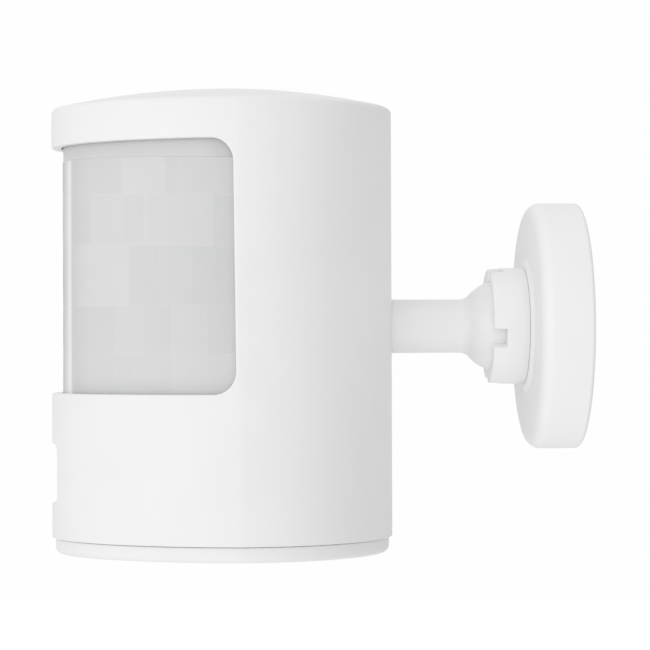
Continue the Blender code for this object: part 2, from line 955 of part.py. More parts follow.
antenna_coil = wire(
    "antenna_coil",
    coil((19, ON - 2.9), 8.0, 26.0, 2.2, 2.2, 5, 8),
    0.4,
    coil_gold,
)
for piece in (
    pir_stand,
    pir_can,
    pir_filter,
    mcu_chip,
    rf_shield,
    capacitor,
    status_led,
    antenna_coil,
):
    hold(piece, stem_axis)

# ---------------------------------------------------------------- test button
BOARD_FRONT = -94.4
button_board = box(
    "button_board",
    (-9.5, BOARD_FRONT, -37.5),
    (9.5, BOARD_FRONT + 1.6, -22.5),
    button_board_green,
)
hold(button_board, stem_axis)
tact_switch = box(
    "tact_switch",
    (-3, BOARD_FRONT - 3.7, BUTTON_Z - 3),
    (3, BOARD_FRONT - 0.3, BUTTON_Z + 3),
    switch_black,
    edge=0.25,
)
boolean(
    tact_switch,
    rod(
        "tact_bore",
        (0, BOARD_FRONT - 5, BUTTON_Z),
        (0, 1, 0),
        2.6,
        2.0,
        20,
        cutter=True,
    ),
)
hold(tact_switch, stem_axis)
PLUNGER_TIP = BOARD_FRONT - 5.5
tact_plunger = rod(
    "tact_plunger", (0, PLUNGER_TIP, BUTTON_Z), (0, 1, 0), 2.0, 1.7, 20, plunger_black
)
hold(tact_plunger, button_axis)

# The cap's face is flat, so it lies deepest in the middle of the curved front, and
# its two sides follow the front. Its flange behind the guide ring keeps it in.
test_button = prism(
    "test_button",
    button_outline(0.0),
    forward,
    -FRONT_U + BUTTON_FACE,
    -FRONT_U + 5.0,
    button_white,
)
boolean(
    test_button,
    loft(
        "button_face",
        [ring(0.25, BUTTON_Z - 12), ring(0.25, BUTTON_Z + 12)],
        cutter=True,
    ),
    "INTERSECT",
)
boolean(
    test_button,
    prism(
        "button_flange",
        button_outline(1.5),
        forward,
        -FRONT_U + 4.3,
        -FRONT_U + 5.3,
        cutter=True,
    ),
    "UNION",
)
boolean(
    test_button,
    rod(
        "button_post",
        (0, -FRONT_U + 4.5, BUTTON_Z),
        (0, 1, 0),
        PLUNGER_TIP - 0.3 - (-FRONT_U + 4.5),
        2.0,
        20,
        cutter=True,
    ),
    "UNION",
)
hold(test_button, button_axis)

# ---------------------------------------------------------------- tamper switch
tamper_switch = box(
    "tamper_switch", (18, -73.3, -37), (24, -67.3, -31.5), tamper_black, edge=0.25
)
boolean(
    tamper_switch,
    rod("tamper_bore", (21, -70.3, -39), (0, 0, 1), 6.2, 1.85, 18, cutter=True),
)
hold(tamper_switch, stem_axis)
tamper_plunger = rod(
    "tamper_plunger", (21, -70.3, -41.4), (0, 0, 1), 7.2, 1.5, 18, tamper_white
)
hold(tamper_plunger, tamper_axis)

# Flat cable from the small board up to the main one.
path = [
    (BOARD_FRONT + 1.9, -27.0),
    (-88.5, -25.5),
    (-82.0, -22.6),
    (-76.5, -20.2),
    (-73.6, -18.2),
    (ON - 0.6, -15.0),
    (ON - 0.05, -11.5),
]
upper = []
lower = []
for i, (y, z) in enumerate(path):
    a = Vector(path[max(i - 1, 0)])
    b = Vector(path[min(i + 1, len(path) - 1)])
    d = (b - a).normalized()
    n = Vector((-d.y, d.x)) * 0.2
    upper.append((y + n.x, z + n.y))
    lower.append((y - n.x, z - n.y))
ribbon_cable = prism(
    "ribbon_cable", lower + upper[::-1], sideways, -4, 4, ribbon_grey
)
hold(ribbon_cable, stem_axis)

# ---------------------------------------------------------------- cells and contacts
battery_tray = box(
    "battery_tray", (-17.7, -64.7, -38.0), (17.7, -63.75, 17.4), tray_grey
)
for side in (1, -1):
    x = sorted((side * 16.55, side * 17.7))
    boolean(
        battery_tray,
        box(
            f"tray_side_{side}", (x[0], -64.6, -38.0), (x[1], -50.5, 17.4), cutter=True
        ),
        "UNION",
    )
boolean(
    battery_tray,
    box("tray_rib", (-0.9, -64.5, -38.0), (0.9, -52.5, 17.4), cutter=True),
    "UNION",
)
boolean(
    battery_tray,
    box("tray_top", (-17.6, -64.6, 16.2), (17.6, -50.0, 17.3), cutter=True),
    "UNION",
)
hold(battery_tray, stem_axis)

CELL_HIGH = CELL_LOW + CELL_LENGTH
nub = 1.3
battery_left = turned(
    "battery_left",
    [
        (0.0, CELL_HIGH),
        (2.7, CELL_HIGH),
        (2.7, CELL_HIGH - nub),
        (CELL_RADIUS - 0.5, CELL_HIGH - nub),
        (CELL_RADIUS, CELL_HIGH - nub - 0.5),
        (CELL_RADIUS, CELL_LOW + 0.4),
        (CELL_RADIUS - 0.4, CELL_LOW),
        (0.0, CELL_LOW),
    ],
    cell_left_skin,
    steps=24,
    at=(-CELL_X, CELL_Y, 0),
)
battery_right = turned(
    "battery_right",
    [
        (0.0, CELL_HIGH),
        (CELL_RADIUS - 0.4, CELL_HIGH),
        (CELL_RADIUS, CELL_HIGH - 0.4),
        (CELL_RADIUS, CELL_LOW + nub + 0.5),
        (CELL_RADIUS - 0.5, CELL_LOW + nub),
        (2.7, CELL_LOW + nub),
        (2.7, CELL_LOW),
        (0.0, CELL_LOW),
    ],
    cell_right_skin,
    steps=24,
    at=(CELL_X, CELL_Y, 0),
)
for cell in (battery_left, battery_right):
    cell.parent = stem_axis
    cell.matrix_parent_inverse = Matrix.Translation(stem_axis.location).inverted()
contact_plate_top = box(
    "contact_plate_top",
    (-CELL_X - 4.5, CELL_Y - 4.5, CELL_HIGH + 0.4),
    (-CELL_X + 4.5, CELL_Y + 4.5, CELL_HIGH + 0.9),
    contact_nickel,
)
boolean(
    contact_plate_top,
    box(
        "contact_tab",
        (-CELL_X - 2.0, CELL_Y - 2.0, CELL_HIGH + 0.6),
        (-CELL_X + 2.0, CELL_Y - 1.4, 15.8),
        cutter=True,
    ),
    "UNION",
)
contact_spring_top = wire(
    "contact_spring_top",
    coil((CELL_X, CELL_Y), CELL_HIGH + 0.8, 15.3, 2.0, 4.4, 3, 9),
    0.4,
    spring_nickel,
)
hold(contact_plate_top, stem_axis)
hold(contact_spring_top, stem_axis)

# ---------------------------------------------------------------- base cap
CAP_TOP = SHELL_BOTTOM - SEAM_GAP
CAP_FLOOR = BASE_BOTTOM + 1.6
SKIRT = WALL + 0.35
base_cap = loft(
    "base_cap",
    [
        ring(BASE_INSET + 1.3, BASE_BOTTOM),
        ring(BASE_INSET + 0.65, BASE_BOTTOM + 0.17),
        ring(BASE_INSET + 0.17, BASE_BOTTOM + 0.65),
        ring(BASE_INSET, BASE_BOTTOM + 1.3),
        ring(BASE_INSET, CAP_TOP - 0.2),
        ring(BASE_INSET + 0.2, CAP_TOP),
        ring(SKIRT, CAP_TOP),
        ring(SKIRT, -40.9),
        ring(SKIRT + 0.3, -40.6),
        ring(SKIRT + 1.2, -40.6),
        ring(SKIRT + 1.2, CAP_FLOOR),
    ],
    base_white,
)
boolean(
    base_cap,
    rod(
        "tamper_post",
        (21, -70.3, CAP_FLOOR - 0.5),
        (0, 0, 1),
        -41.7 - (CAP_FLOOR - 0.5),
        2.0,
        18,
        cutter=True,
    ),
    "UNION",
)
hold(base_cap, base_axis)
STRIP = CAP_FLOOR + 0.3
cap_contact = box(
    "cap_contact",
    (-CELL_X - 4, CELL_Y - 3.2, STRIP),
    (CELL_X + 3, CELL_Y + 3.2, STRIP + 0.4),
    cap_strip_nickel,
)
for lo, hi in (((5.5, STRIP + 0.1), (5.9, -41.7)), ((11.6, STRIP + 0.1), (12.0, -41.7))):
    boolean(
        cap_contact,
        box(
            f"strip_leg_{lo[0]}",
            (lo[0], CELL_Y - 3.0, lo[1]),
            (hi[0], CELL_Y + 3.0, hi[1]),
            cutter=True,
        ),
        "UNION",
    )
boolean(
    cap_contact,
    box(
        "strip_bridge",
        (5.55, CELL_Y - 2.9, -42.1),
        (11.95, CELL_Y + 2.9, -41.65),
        cutter=True,
    ),
    "UNION",
)
hold(cap_contact, base_axis)
cap_spring = wire(
    "cap_spring",
    coil((-CELL_X, CELL_Y), STRIP + 1.1, -42.05, 3.2, 1.6, 1.5, 12),
    0.35,
    cap_spring_nickel,
)
hold(cap_spring, base_axis)
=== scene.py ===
"""The looks of the wall motion sensor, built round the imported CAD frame.

Lengths in the builders below are millimetres in the row frame and MM turns them
into metres. "u" is the distance in front of the wall (u = -y). "s" is the length
along the head's plan, from the middle of the nose (0) round to the middle of the
back (HALF), positive on the +X side.
"""

import json
import math
import random

import bmesh
import bpy
import numpy as np
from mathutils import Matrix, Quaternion, Vector

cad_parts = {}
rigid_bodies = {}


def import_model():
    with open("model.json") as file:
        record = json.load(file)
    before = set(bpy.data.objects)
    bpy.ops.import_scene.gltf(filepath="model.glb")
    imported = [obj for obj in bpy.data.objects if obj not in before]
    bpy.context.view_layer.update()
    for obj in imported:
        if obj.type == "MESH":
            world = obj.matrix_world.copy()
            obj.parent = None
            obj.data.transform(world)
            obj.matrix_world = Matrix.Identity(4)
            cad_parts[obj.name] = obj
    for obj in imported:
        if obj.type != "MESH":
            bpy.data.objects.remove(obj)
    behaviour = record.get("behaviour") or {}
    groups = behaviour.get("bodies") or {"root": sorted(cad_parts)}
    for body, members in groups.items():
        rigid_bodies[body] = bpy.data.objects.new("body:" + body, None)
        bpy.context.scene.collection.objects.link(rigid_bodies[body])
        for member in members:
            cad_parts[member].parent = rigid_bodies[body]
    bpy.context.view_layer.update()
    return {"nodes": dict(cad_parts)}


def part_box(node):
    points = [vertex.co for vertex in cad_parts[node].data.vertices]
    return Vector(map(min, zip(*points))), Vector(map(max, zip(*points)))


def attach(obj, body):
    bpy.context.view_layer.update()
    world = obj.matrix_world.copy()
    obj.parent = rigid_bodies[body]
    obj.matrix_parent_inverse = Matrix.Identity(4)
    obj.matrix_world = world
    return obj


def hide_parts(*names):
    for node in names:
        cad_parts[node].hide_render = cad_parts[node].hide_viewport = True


for leftover in list(bpy.data.objects):
    bpy.data.objects.remove(leftover, do_unlink=True)

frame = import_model()
MM = 0.001
TAU = math.tau


def node_box(name):
    lo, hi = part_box(name)
    return [v / MM for v in lo], [v / MM for v in hi]


# ================================================================ sizes, read from the frame
shell_lo, shell_hi = node_box("housing_shell")
cap_lo, cap_hi = node_box("base_cap")
disc_lo, disc_hi = node_box("cover_disc")
collar_lo, collar_hi = node_box("collar_nut")
stem_lo, stem_hi = node_box("ball_stem")
liner_lo, liner_hi = node_box("socket_liner")
plate_lo, plate_hi = node_box("base_plate")

HALF_WIDTH = shell_hi[0]
FRONT_U = -shell_lo[1]
BACK_U = -shell_hi[1]
FRONT_LENGTH = 37.7
CREASE_U = FRONT_U - FRONT_LENGTH
BACK_LENGTH = CREASE_U - BACK_U
CENTRE_Y = -(FRONT_U + BACK_U) / 2
CREASE_ANGLE = 6.9
NOSE_PULL = 0.504
SIDE_PULL = 0.541
WALL = 2.0
SHELL_BOTTOM = shell_lo[2]
SHELL_TOP = 48.75
TOP_EDGE = 43.8
TOP_FILLET = 1.1
WINDOW_TOP = 36.75
WINDOW_SILL = -13.5
WINDOW_CORNER = 4.6
WINDOW_REAR = 0.95
WINDOW_LEAN = 0.0002
LENS_SETBACK = 2.35
LENS_THICK = 0.9
BUTTON_Z = -30.0
BUTTON_HALF_WIDTH = 8.1
BUTTON_HALF_HEIGHT = 5.9
BUTTON_CORNER = 2.8
BUTTON_FACE = 1.2
BASE_INSET = 0.7
CAP_TOP = SHELL_BOTTOM - 0.12
BASE_BOTTOM = cap_lo[2]
BALL_U = 15.55
BALL_RADIUS = 9.67
COLLAR_RIM = -collar_lo[1]
DISC_RADIUS = disc_hi[0]
DISC_DEPTH = 10.75
LIP_TOP = -disc_lo[1]
COLLAR_LOW = LIP_TOP + 0.04


# ================================================================ mesh helpers
class Skin:
    """Points and faces in millimetres."""

    def __init__(self):
        self.v = []
        self.f = []

    def point(self, p):
        self.v.append((float(p[0]), float(p[1]), float(p[2])))
        return len(self.v) - 1

    def loop(self, points):
        return [self.point(p) for p in points]

    def bridge(self, a, b, closed=True):
        n = len(a)
        for i in range(n if closed else n - 1):
            j = (i + 1) % n
            self.f.append((a[i], a[j], b[j], b[i]))

    def stack(self, loops, closed=True):
        for a, b in zip(loops, loops[1:]):
            self.bridge(a, b, closed)

    def fan(self, loop, centre):
        c = self.point(centre)
        n = len(loop)
        for i in range(n):
            self.f.append((loop[i], loop[(i + 1) % n], c))


def make(name, skin, mat, body, replaces=(), sharp=38.0, closed=True):
    mesh = bpy.data.meshes.new(name)
    mesh.from_pydata([tuple(c * MM for c in p) for p in skin.v], [], skin.f)
    bm = bmesh.new()
    bm.from_mesh(mesh)
    if closed:
        bmesh.ops.recalc_face_normals(bm, faces=bm.faces)
    bm.to_mesh(mesh)
    bm.free()
    mesh.materials.append(mat)
    mesh.shade_smooth()
    mesh.set_sharp_from_angle(angle=math.radians(sharp))
    obj = bpy.data.objects.new(name, mesh)
    bpy.context.scene.collection.objects.link(obj)
    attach(obj, body)
    if replaces:
        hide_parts(*replaces)
    return obj


def rounded(points, steps=5):
    """Corners (a, b, radius) of an open outline; each inner corner with a radius
    becomes an arc."""
    out = [points[0][:2]]
    for before, here, after in zip(points, points[1:], points[2:]):
        radius = here[2] if len(here) > 2 else 0.0
        p, a, b = Vector(here[:2]), Vector(before[:2]), Vector(after[:2])
        if radius <= 0:
            out.append(tuple(p))
            continue
        da, db = (a - p).normalized(), (b - p).normalized()
        half = math.acos(max(-1.0, min(1.0, da.dot(db)))) / 2
        if half > math.pi / 2 - 0.01:
            out.append(tuple(p))
            continue
        run = radius / math.tan(half)
        run = min(run, (a - p).length * 0.49, (b - p).length * 0.49)
        r = run * math.tan(half)
        centre = p + (da + db).normalized() * (r / math.sin(half))
        start, end = p + da * run - centre, p + db * run - centre
        turn = start.angle_signed(end)
        for k in range(steps + 1):
            angle = -turn * k / steps
            c, s = math.cos(angle), math.sin(angle)
            q = centre + Vector((start.x * c - start.y * s, start.x * s + start.y * c))
            out.append(tuple(q))
    out.append(points[-1][:2])
    return out


def ring_closed(points, steps=5):
    """The same for a closed outline."""
    full = [points[-1]] + list(points) + [points[0]]
    return rounded(full, steps)[1:-1]


def about_y(r, u, angle, cx=0.0, cz=0.0):
    return (cx + r * math.cos(angle), -u, cz + r * math.sin(angle))


def about_z(r, z, angle, cx=0.0, cy=0.0):
    return (cx + r * math.cos(angle), cy + r * math.sin(angle), z)


def lathe(skin, profile, steps=160, closed=False, place=about_y, **at):
    """Turns (radius, height) about an axis. Ends at radius 0 close to a point."""
    loops = []
    for r, h in profile:
        if r <= 1e-6:
            loops.append([skin.point(place(0.0, h, 0.0, **at))])
        else:
            loops.append(
                skin.loop([place(r, h, TAU * k / steps, **at) for k in range(steps)])
            )
    pairs = list(zip(loops, loops[1:]))
    if closed:
        pairs.append((loops[-1], loops[0]))
    for a, b in pairs:
        if len(a) == 1 and len(b) == 1:
            continue
        if len(a) == 1:
            for i in range(len(b)):
                skin.f.append((a[0], b[i], b[(i + 1) % len(b)]))
        elif len(b) == 1:
            for i in range(len(a)):
                skin.f.append((a[i], a[(i + 1) % len(a)], b[0]))
        else:
            skin.bridge(a, b)


def tube(skin, path, radius, sides=14):
    """A round wire along a path of points."""
    pts = [Vector(p) for p in path]
    side = None
    loops = []
    for i, p in enumerate(pts):
        d = (pts[min(i + 1, len(pts) - 1)] - pts[max(i - 1, 0)]).normalized()
        if side is None:
            side = d.orthogonal().normalized()
        side = (side - d * side.dot(d)).normalized()
        other = d.cross(side)
        loops.append(
            skin.loop(
                [
                    p
                    + side * radius * math.cos(TAU * k / sides)
                    + other * radius * math.sin(TAU * k / sides)
                    for k in range(sides)
                ]
            )
        )
    skin.stack(loops)
    skin.fan(loops[0], pts[0])
    skin.fan(loops[-1], pts[-1])


def block(skin, lo, hi, edge=0.3, steps=3):
    """A box with rounded vertical and horizontal edges, as a stack of rounded loops."""
    cx, cy = (lo[0] + hi[0]) / 2, (lo[1] + hi[1]) / 2

    def outline(inset):
        r = max(edge - inset, 0.02)
        pts = []
        for sx, sy, a0 in ((1, 1, 0), (-1, 1, 90), (-1, -1, 180), (1, -1, 270)):
            ox = cx + sx * ((hi[0] - lo[0]) / 2 - inset - r)
            oy = cy + sy * ((hi[1] - lo[1]) / 2 - inset - r)
            for k in range(steps + 1):
                a = math.radians(a0 + 90 * k / steps)
                pts.append((ox + r * math.cos(a), oy + r * math.sin(a)))
        return pts

    loops = []
    for k in range(steps + 1):
        a = math.radians(90 * k / steps)
        inset, z = edge * (1 - math.sin(a)), lo[2] + edge * (1 - math.cos(a))
        loops.append(skin.loop([(x, y, z) for x, y in outline(inset)]))
    for k in range(steps, -1, -1):
        a = math.radians(90 * k / steps)
        inset, z = edge * (1 - math.sin(a)), hi[2] - edge * (1 - math.cos(a))
        loops.append(skin.loop([(x, y, z) for x, y in outline(inset)]))
    skin.stack(loops)
    skin.fan(loops[0], (cx, cy, lo[2]))
    skin.fan(loops[-1], (cx, cy, hi[2]))


# ================================================================ plan of the head
def dense_plan():
    """Points and outward normals from the nose to the middle of the back, with the
    crease rounded over a millimetre."""
    a, w = FRONT_LENGTH, HALF_WIDTH
    slope = math.radians(CREASE_ANGLE)
    p0, p1, p3 = np.array((0, -a)), np.array((NOSE_PULL * w, -a)), np.array((w, 0.0))
    p2 = p3 - SIDE_PULL * a * np.array((math.sin(slope), math.cos(slope)))
    t = np.linspace(0, 1, 1200)[:, None]
    nose = (1 - t) ** 3 * p0 + 3 * (1 - t) ** 2 * t * p1
    nose = nose + 3 * (1 - t) * t**2 * p2 + t**3 * p3
    t = np.linspace(0, math.pi / 2, 1200)[1:]
    back = np.stack((w * np.cos(t), BACK_LENGTH * np.sin(t)), axis=1)
    soft = 0.22
    nose = nose[np.linalg.norm(nose - p3, axis=1) > soft]
    back = back[np.linalg.norm(back - p3, axis=1) > soft]
    q = np.linspace(0, 1, 26)[1:-1, None]
    corner = (1 - q) ** 2 * nose[-1] + 2 * (1 - q) * q * p3 + q**2 * back[0]
    pts = np.concatenate((nose, corner, back)) + np.array((0, -CREASE_U))
    step = np.diff(pts, axis=0)
    s = np.concatenate(([0], np.cumsum(np.linalg.norm(step, axis=1))))
    tangent = np.gradient(pts, s, axis=0)
    normal = np.stack((tangent[:, 1], -tangent[:, 0]), axis=1)
    normal /= np.linalg.norm(normal, axis=1)[:, None]
    normal[0], normal[-1] = (0, -1), (0, 1)
    return pts, normal, s


PTS, NRM, ARC = dense_plan()
HALF = ARC[-1]
S_CREASE = float(np.interp(-CREASE_U, PTS[:, 1], ARC))
S_WINDOW = float(np.interp(-CREASE_U - WINDOW_REAR, PTS[:, 1], ARC))


def on_plan(s, depth=0.0):
    """(x, y) of the point at s, moved in by depth."""
    s = (s + HALF) % (2 * HALF) - HALF
    side = -1.0 if s < 0 else 1.0
    a = abs(s)
    x, y = np.interp(a, ARC, PTS[:, 0]), np.interp(a, ARC, PTS[:, 1])
    nx, ny = np.interp(a, ARC, NRM[:, 0]), np.interp(a, ARC, NRM[:, 1])
    n = math.hypot(nx, ny)
    return side * (x - nx / n * depth), y - ny / n * depth


def shell_point(s, z, depth=0.0):
    x, y = on_plan(s, depth)
    return (x, y, z)


def s_at_x(x, depth=0.0):
    """s of the nose point whose x is given, on the plan moved in by depth."""
    xs = PTS[:600, 0] - NRM[:600, 0] * depth
    return math.copysign(float(np.interp(abs(x), xs, ARC[:600])), x)


def s_at_y(y, depth=0.0):
    ys = PTS[:, 1] - NRM[:, 1] * depth
    return float(np.interp(y, ys, ARC))


def spread(stops, gaps):
    """Values through the stops, evenly spaced between each pair at about the gap."""
    out = [stops[0]]
    for a, b, gap in zip(stops, stops[1:], gaps):
        n = max(1, round((b - a) / gap))
        out += [a + (b - a) * (k + 1) / n for k in range(n)]
    return out


# ================================================================ materials
def new_material(name):
    m = bpy.data.materials.new(name)
    m.use_nodes = True
    tree = m.node_tree
    return m, tree, tree.nodes["Principled BSDF"]


def add(tree, kind, **inputs):
    node = tree.nodes.new(kind)
    for key, value in inputs.items():
        node.inputs[key.replace("_", " ")].default_value = value
    return node


def noise(tree, coords, scale, detail=3.0, roughness=0.55, stretch=None):
    source = coords
    if stretch is not None:
        mapping = tree.nodes.new("ShaderNodeMapping")
        mapping.inputs["Scale"].default_value = stretch
        tree.links.new(coords, mapping.inputs["Vector"])
        source = mapping.outputs["Vector"]
    n = add(tree, "ShaderNodeTexNoise", Scale=scale, Detail=detail, Roughness=roughness)
    tree.links.new(source, n.inputs["Vector"])
    return n.outputs["Fac"]


def spread_to(tree, value, low, high, start=0.3, end=0.7):
    r = add(tree, "ShaderNodeMapRange")
    r.inputs["From Min"].default_value = start
    r.inputs["From Max"].default_value = end
    r.inputs["To Min"].default_value = low
    r.inputs["To Max"].default_value = high
    tree.links.new(value, r.inputs["Value"])
    return r.outputs["Result"]


def ramp(tree, value, stops):
    r = tree.nodes.new("ShaderNodeValToRGB")
    while len(r.color_ramp.elements) < len(stops):
        r.color_ramp.elements.new(0.5)
    for e, (at, colour) in zip(r.color_ramp.elements, stops):
        e.position = at
        e.color = (*colour, 1.0)
    tree.links.new(value, r.inputs["Fac"])
    return r.outputs["Color"]


def tint(colour, factor):
    return tuple(min(1.0, c * factor) for c in colour)


def plastic(
    name,
    colour,
    rough=0.4,
    mottle=0.012,
    grain_mm=0.22,
    grain_depth=0.006,
    rough_play=0.05,
    specular=0.5,
    sheen=0.0,
):
    """Moulded plastic: fine tool grain, slow tone and gloss changes."""
    m, tree, p = new_material(name)
    coords = tree.nodes.new("ShaderNodeTexCoord").outputs["Object"]
    slow = noise(tree, coords, 55.0, 4.0, 0.6)
    tree.links.new(
        ramp(
            tree,
            slow,
            ((0.3, tint(colour, 1 - mottle)), (0.7, tint(colour, 1 + mottle))),
        ),
        p.inputs["Base Color"],
    )
    patch = noise(tree, coords, 240.0, 3.0, 0.6)
    tree.links.new(
        spread_to(tree, patch, rough - rough_play, rough + rough_play),
        p.inputs["Roughness"],
    )
    fine = noise(tree, coords, 1.0 / (grain_mm * MM), 2.0, 0.5)
    wave = noise(tree, coords, 90.0, 2.0, 0.5)
    slow_bump = add(tree, "ShaderNodeBump", Strength=0.25, Distance=0.00003)
    tree.links.new(wave, slow_bump.inputs["Height"])
    bump = add(tree, "ShaderNodeBump", Strength=0.5, Distance=grain_depth * MM)
    tree.links.new(fine, bump.inputs["Height"])
    tree.links.new(slow_bump.outputs["Normal"], bump.inputs["Normal"])
    tree.links.new(bump.outputs["Normal"], p.inputs["Normal"])
    p.inputs["Specular IOR Level"].default_value = specular
    if sheen:
        p.inputs["Sheen Weight"].default_value = sheen
    return m


def metal(name, colour, rough=0.3, brush=(1.0, 1.0, 30.0), tarnish=0.06):
    """Plated or bare metal with drawn streaks and slight tarnish."""
    m, tree, p = new_material(name)
    p.inputs["Metallic"].default_value = 1.0
    coords = tree.nodes.new("ShaderNodeTexCoord").outputs["Object"]
    slow = noise(tree, coords, 180.0, 4.0, 0.6)
    tree.links.new(
        ramp(
            tree,
            slow,
            ((0.3, tint(colour, 1 - tarnish)), (0.7, tint(colour, 1 + tarnish / 2))),
        ),
        p.inputs["Base Color"],
    )
    streak = noise(tree, coords, 700.0, 3.0, 0.6, brush)
    tree.links.new(
        spread_to(tree, streak, rough - 0.08, rough + 0.1), p.inputs["Roughness"]
    )
    bump = add(tree, "ShaderNodeBump", Strength=0.3, Distance=0.000006)
    tree.links.new(streak, bump.inputs["Height"])
    tree.links.new(bump.outputs["Normal"], p.inputs["Normal"])
    return m


def board(name):
    """Green solder mask over tracks, with plated pads."""
    m, tree, p = new_material(name)
    coords = tree.nodes.new("ShaderNodeTexCoord").outputs["Object"]
    mapping = tree.nodes.new("ShaderNodeMapping")
    mapping.inputs["Rotation"].default_value = (math.pi / 2, 0, 0)
    tree.links.new(coords, mapping.inputs["Vector"])
    brick = add(tree, "ShaderNodeTexBrick", Scale=260.0)
    brick.inputs["Color1"].default_value = (0.0, 0.0, 0.0, 1)
    brick.inputs["Color2"].default_value = (0.12, 0.12, 0.12, 1)
    brick.inputs["Mortar"].default_value = (1, 1, 1, 1)
    brick.inputs["Mortar Size"].default_value = 0.045
    brick.inputs["Brick Width"].default_value = 1.7
    brick.inputs["Row Height"].default_value = 0.33
    brick.offset = 0.37
    tree.links.new(mapping.outputs["Vector"], brick.inputs["Vector"])
    tracks = ramp(
        tree,
        brick.outputs["Fac"],
        ((0.2, (0.012, 0.10, 0.035)), (0.8, (0.03, 0.22, 0.08))),
    )
    cell = add(tree, "ShaderNodeTexVoronoi", Scale=420.0)
    tree.links.new(coords, cell.inputs["Vector"])
    pads = spread_to(tree, cell.outputs["Distance"], 1.0, 0.0, 0.10, 0.13)
    mix = tree.nodes.new("ShaderNodeMix")
    mix.data_type = "RGBA"
    mix.inputs["B"].default_value = (0.62, 0.60, 0.52, 1)
    tree.links.new(pads, mix.inputs["Factor"])
    tree.links.new(tracks, mix.inputs["A"])
    tree.links.new(mix.outputs["Result"], p.inputs["Base Color"])
    tree.links.new(pads, p.inputs["Metallic"])
    tree.links.new(
        spread_to(tree, noise(tree, coords, 300.0), 0.34, 0.46), p.inputs["Roughness"]
    )
    bump = add(tree, "ShaderNodeBump", Strength=0.4, Distance=0.00003)
    tree.links.new(brick.outputs["Fac"], bump.inputs["Height"])
    tree.links.new(bump.outputs["Normal"], p.inputs["Normal"])
    return m


def lens_material(name):
    """Milky polyethylene: each facet a little different, pale moulding lines between
    them, and fine ring grooves round each facet's middle. The tone attribute also
    carries painted light and shade: a painted highlight by the nose beads, painted
    shade at the nose's middle, along the rear edge and the sill, and a painted
    shadow under the window's top."""
    m, tree, p = new_material(name)
    tone = tree.nodes.new("ShaderNodeAttribute")
    tone.attribute_name = "tone"
    # Base colour from the tone attribute: random facet tone, pale lines, and painted light and shade.
    base = ramp(
        tree, tone.outputs["Fac"], ((0.0, (0.40, 0.405, 0.41)), (1.0, (1.0, 1.0, 1.0)))
    )
    coords = tree.nodes.new("ShaderNodeTexCoord").outputs["Object"]
    cloud = noise(tree, coords, 120.0, 4.0, 0.6)
    shade = tree.nodes.new("ShaderNodeMix")
    shade.data_type = "RGBA"
    shade.blend_type = "MULTIPLY"
    shade.inputs["Factor"].default_value = 1.0
    tree.links.new(base, shade.inputs["A"])
    tree.links.new(
        ramp(
            tree, cloud, ((0.3, (0.985, 0.985, 0.985)), (0.7, (1.0, 1.0, 1.0)))
        ),
        shade.inputs["B"],
    )
    tree.links.new(shade.outputs["Result"], p.inputs["Base Color"])
    tree.links.new(
        spread_to(tree, noise(tree, coords, 300.0), 0.36, 0.46), p.inputs["Roughness"]
    )
    p.inputs["Specular IOR Level"].default_value = 0.45
    uv = tree.nodes.new("ShaderNodeUVMap")
    uv.uv_map = "facet"
    rings = tree.nodes.new("ShaderNodeTexWave")
    rings.wave_type = "RINGS"
    rings.rings_direction = "Z"
    rings.wave_profile = "SAW"
    rings.inputs["Scale"].default_value = 5.0
    rings.inputs["Distortion"].default_value = 0.0
    tree.links.new(uv.outputs["UV"], rings.inputs["Vector"])
    bump = add(tree, "ShaderNodeBump", Strength=0.25, Distance=0.000004)
    tree.links.new(rings.outputs["Fac"], bump.inputs["Height"])
    tree.links.new(bump.outputs["Normal"], p.inputs["Normal"])
    return m


def cell_skin(name, sleeve, top):
    """Printed steel can, plain: dark sleeve, a coloured shoulder and bare ends."""
    m, tree, p = new_material(name)
    coords = tree.nodes.new("ShaderNodeTexCoord").outputs["Object"]
    zone = tree.nodes.new("ShaderNodeAttribute")
    zone.attribute_name = "zone"
    colour = ramp(
        tree,
        zone.outputs["Fac"],
        ((0.0, (0.62, 0.60, 0.56)), (0.3, sleeve), (0.6, sleeve), (0.8, top)),
    )
    tree.nodes[-1].color_ramp.interpolation = "CONSTANT"
    tree.links.new(colour, p.inputs["Base Color"])
    p.inputs["Metallic"].default_value = 1.0
    scuff = noise(tree, coords, 260.0, 5.0, 0.65, (1.0, 1.0, 0.3))
    tree.links.new(spread_to(tree, scuff, 0.24, 0.38), p.inputs["Roughness"])
    bump = add(tree, "ShaderNodeBump", Strength=0.2, Distance=0.00001)
    tree.links.new(scuff, bump.inputs["Height"])
    tree.links.new(bump.outputs["Normal"], p.inputs["Normal"])
    return m


def ribbon_material(name):
    """Flat cable: fine parallel conductors under a grey film."""
    m, tree, p = new_material(name)
    coords = tree.nodes.new("ShaderNodeTexCoord").outputs["Object"]
    wave = add(tree, "ShaderNodeTexWave", Scale=160.0, Distortion=0.0)
    wave.bands_direction = "X"
    tree.links.new(coords, wave.inputs["Vector"])
    tree.links.new(
        ramp(
            tree,
            wave.outputs["Fac"],
            ((0.2, (0.40, 0.40, 0.42)), (0.8, (0.58, 0.58, 0.60))),
        ),
        p.inputs["Base Color"],
    )
    tree.links.new(
        spread_to(tree, noise(tree, coords, 300.0), 0.40, 0.55), p.inputs["Roughness"]
    )
    bump = add(tree, "ShaderNodeBump", Strength=0.4, Distance=0.00004)
    tree.links.new(wave.outputs["Fac"], bump.inputs["Height"])
    tree.links.new(bump.outputs["Normal"], p.inputs["Normal"])
    return m


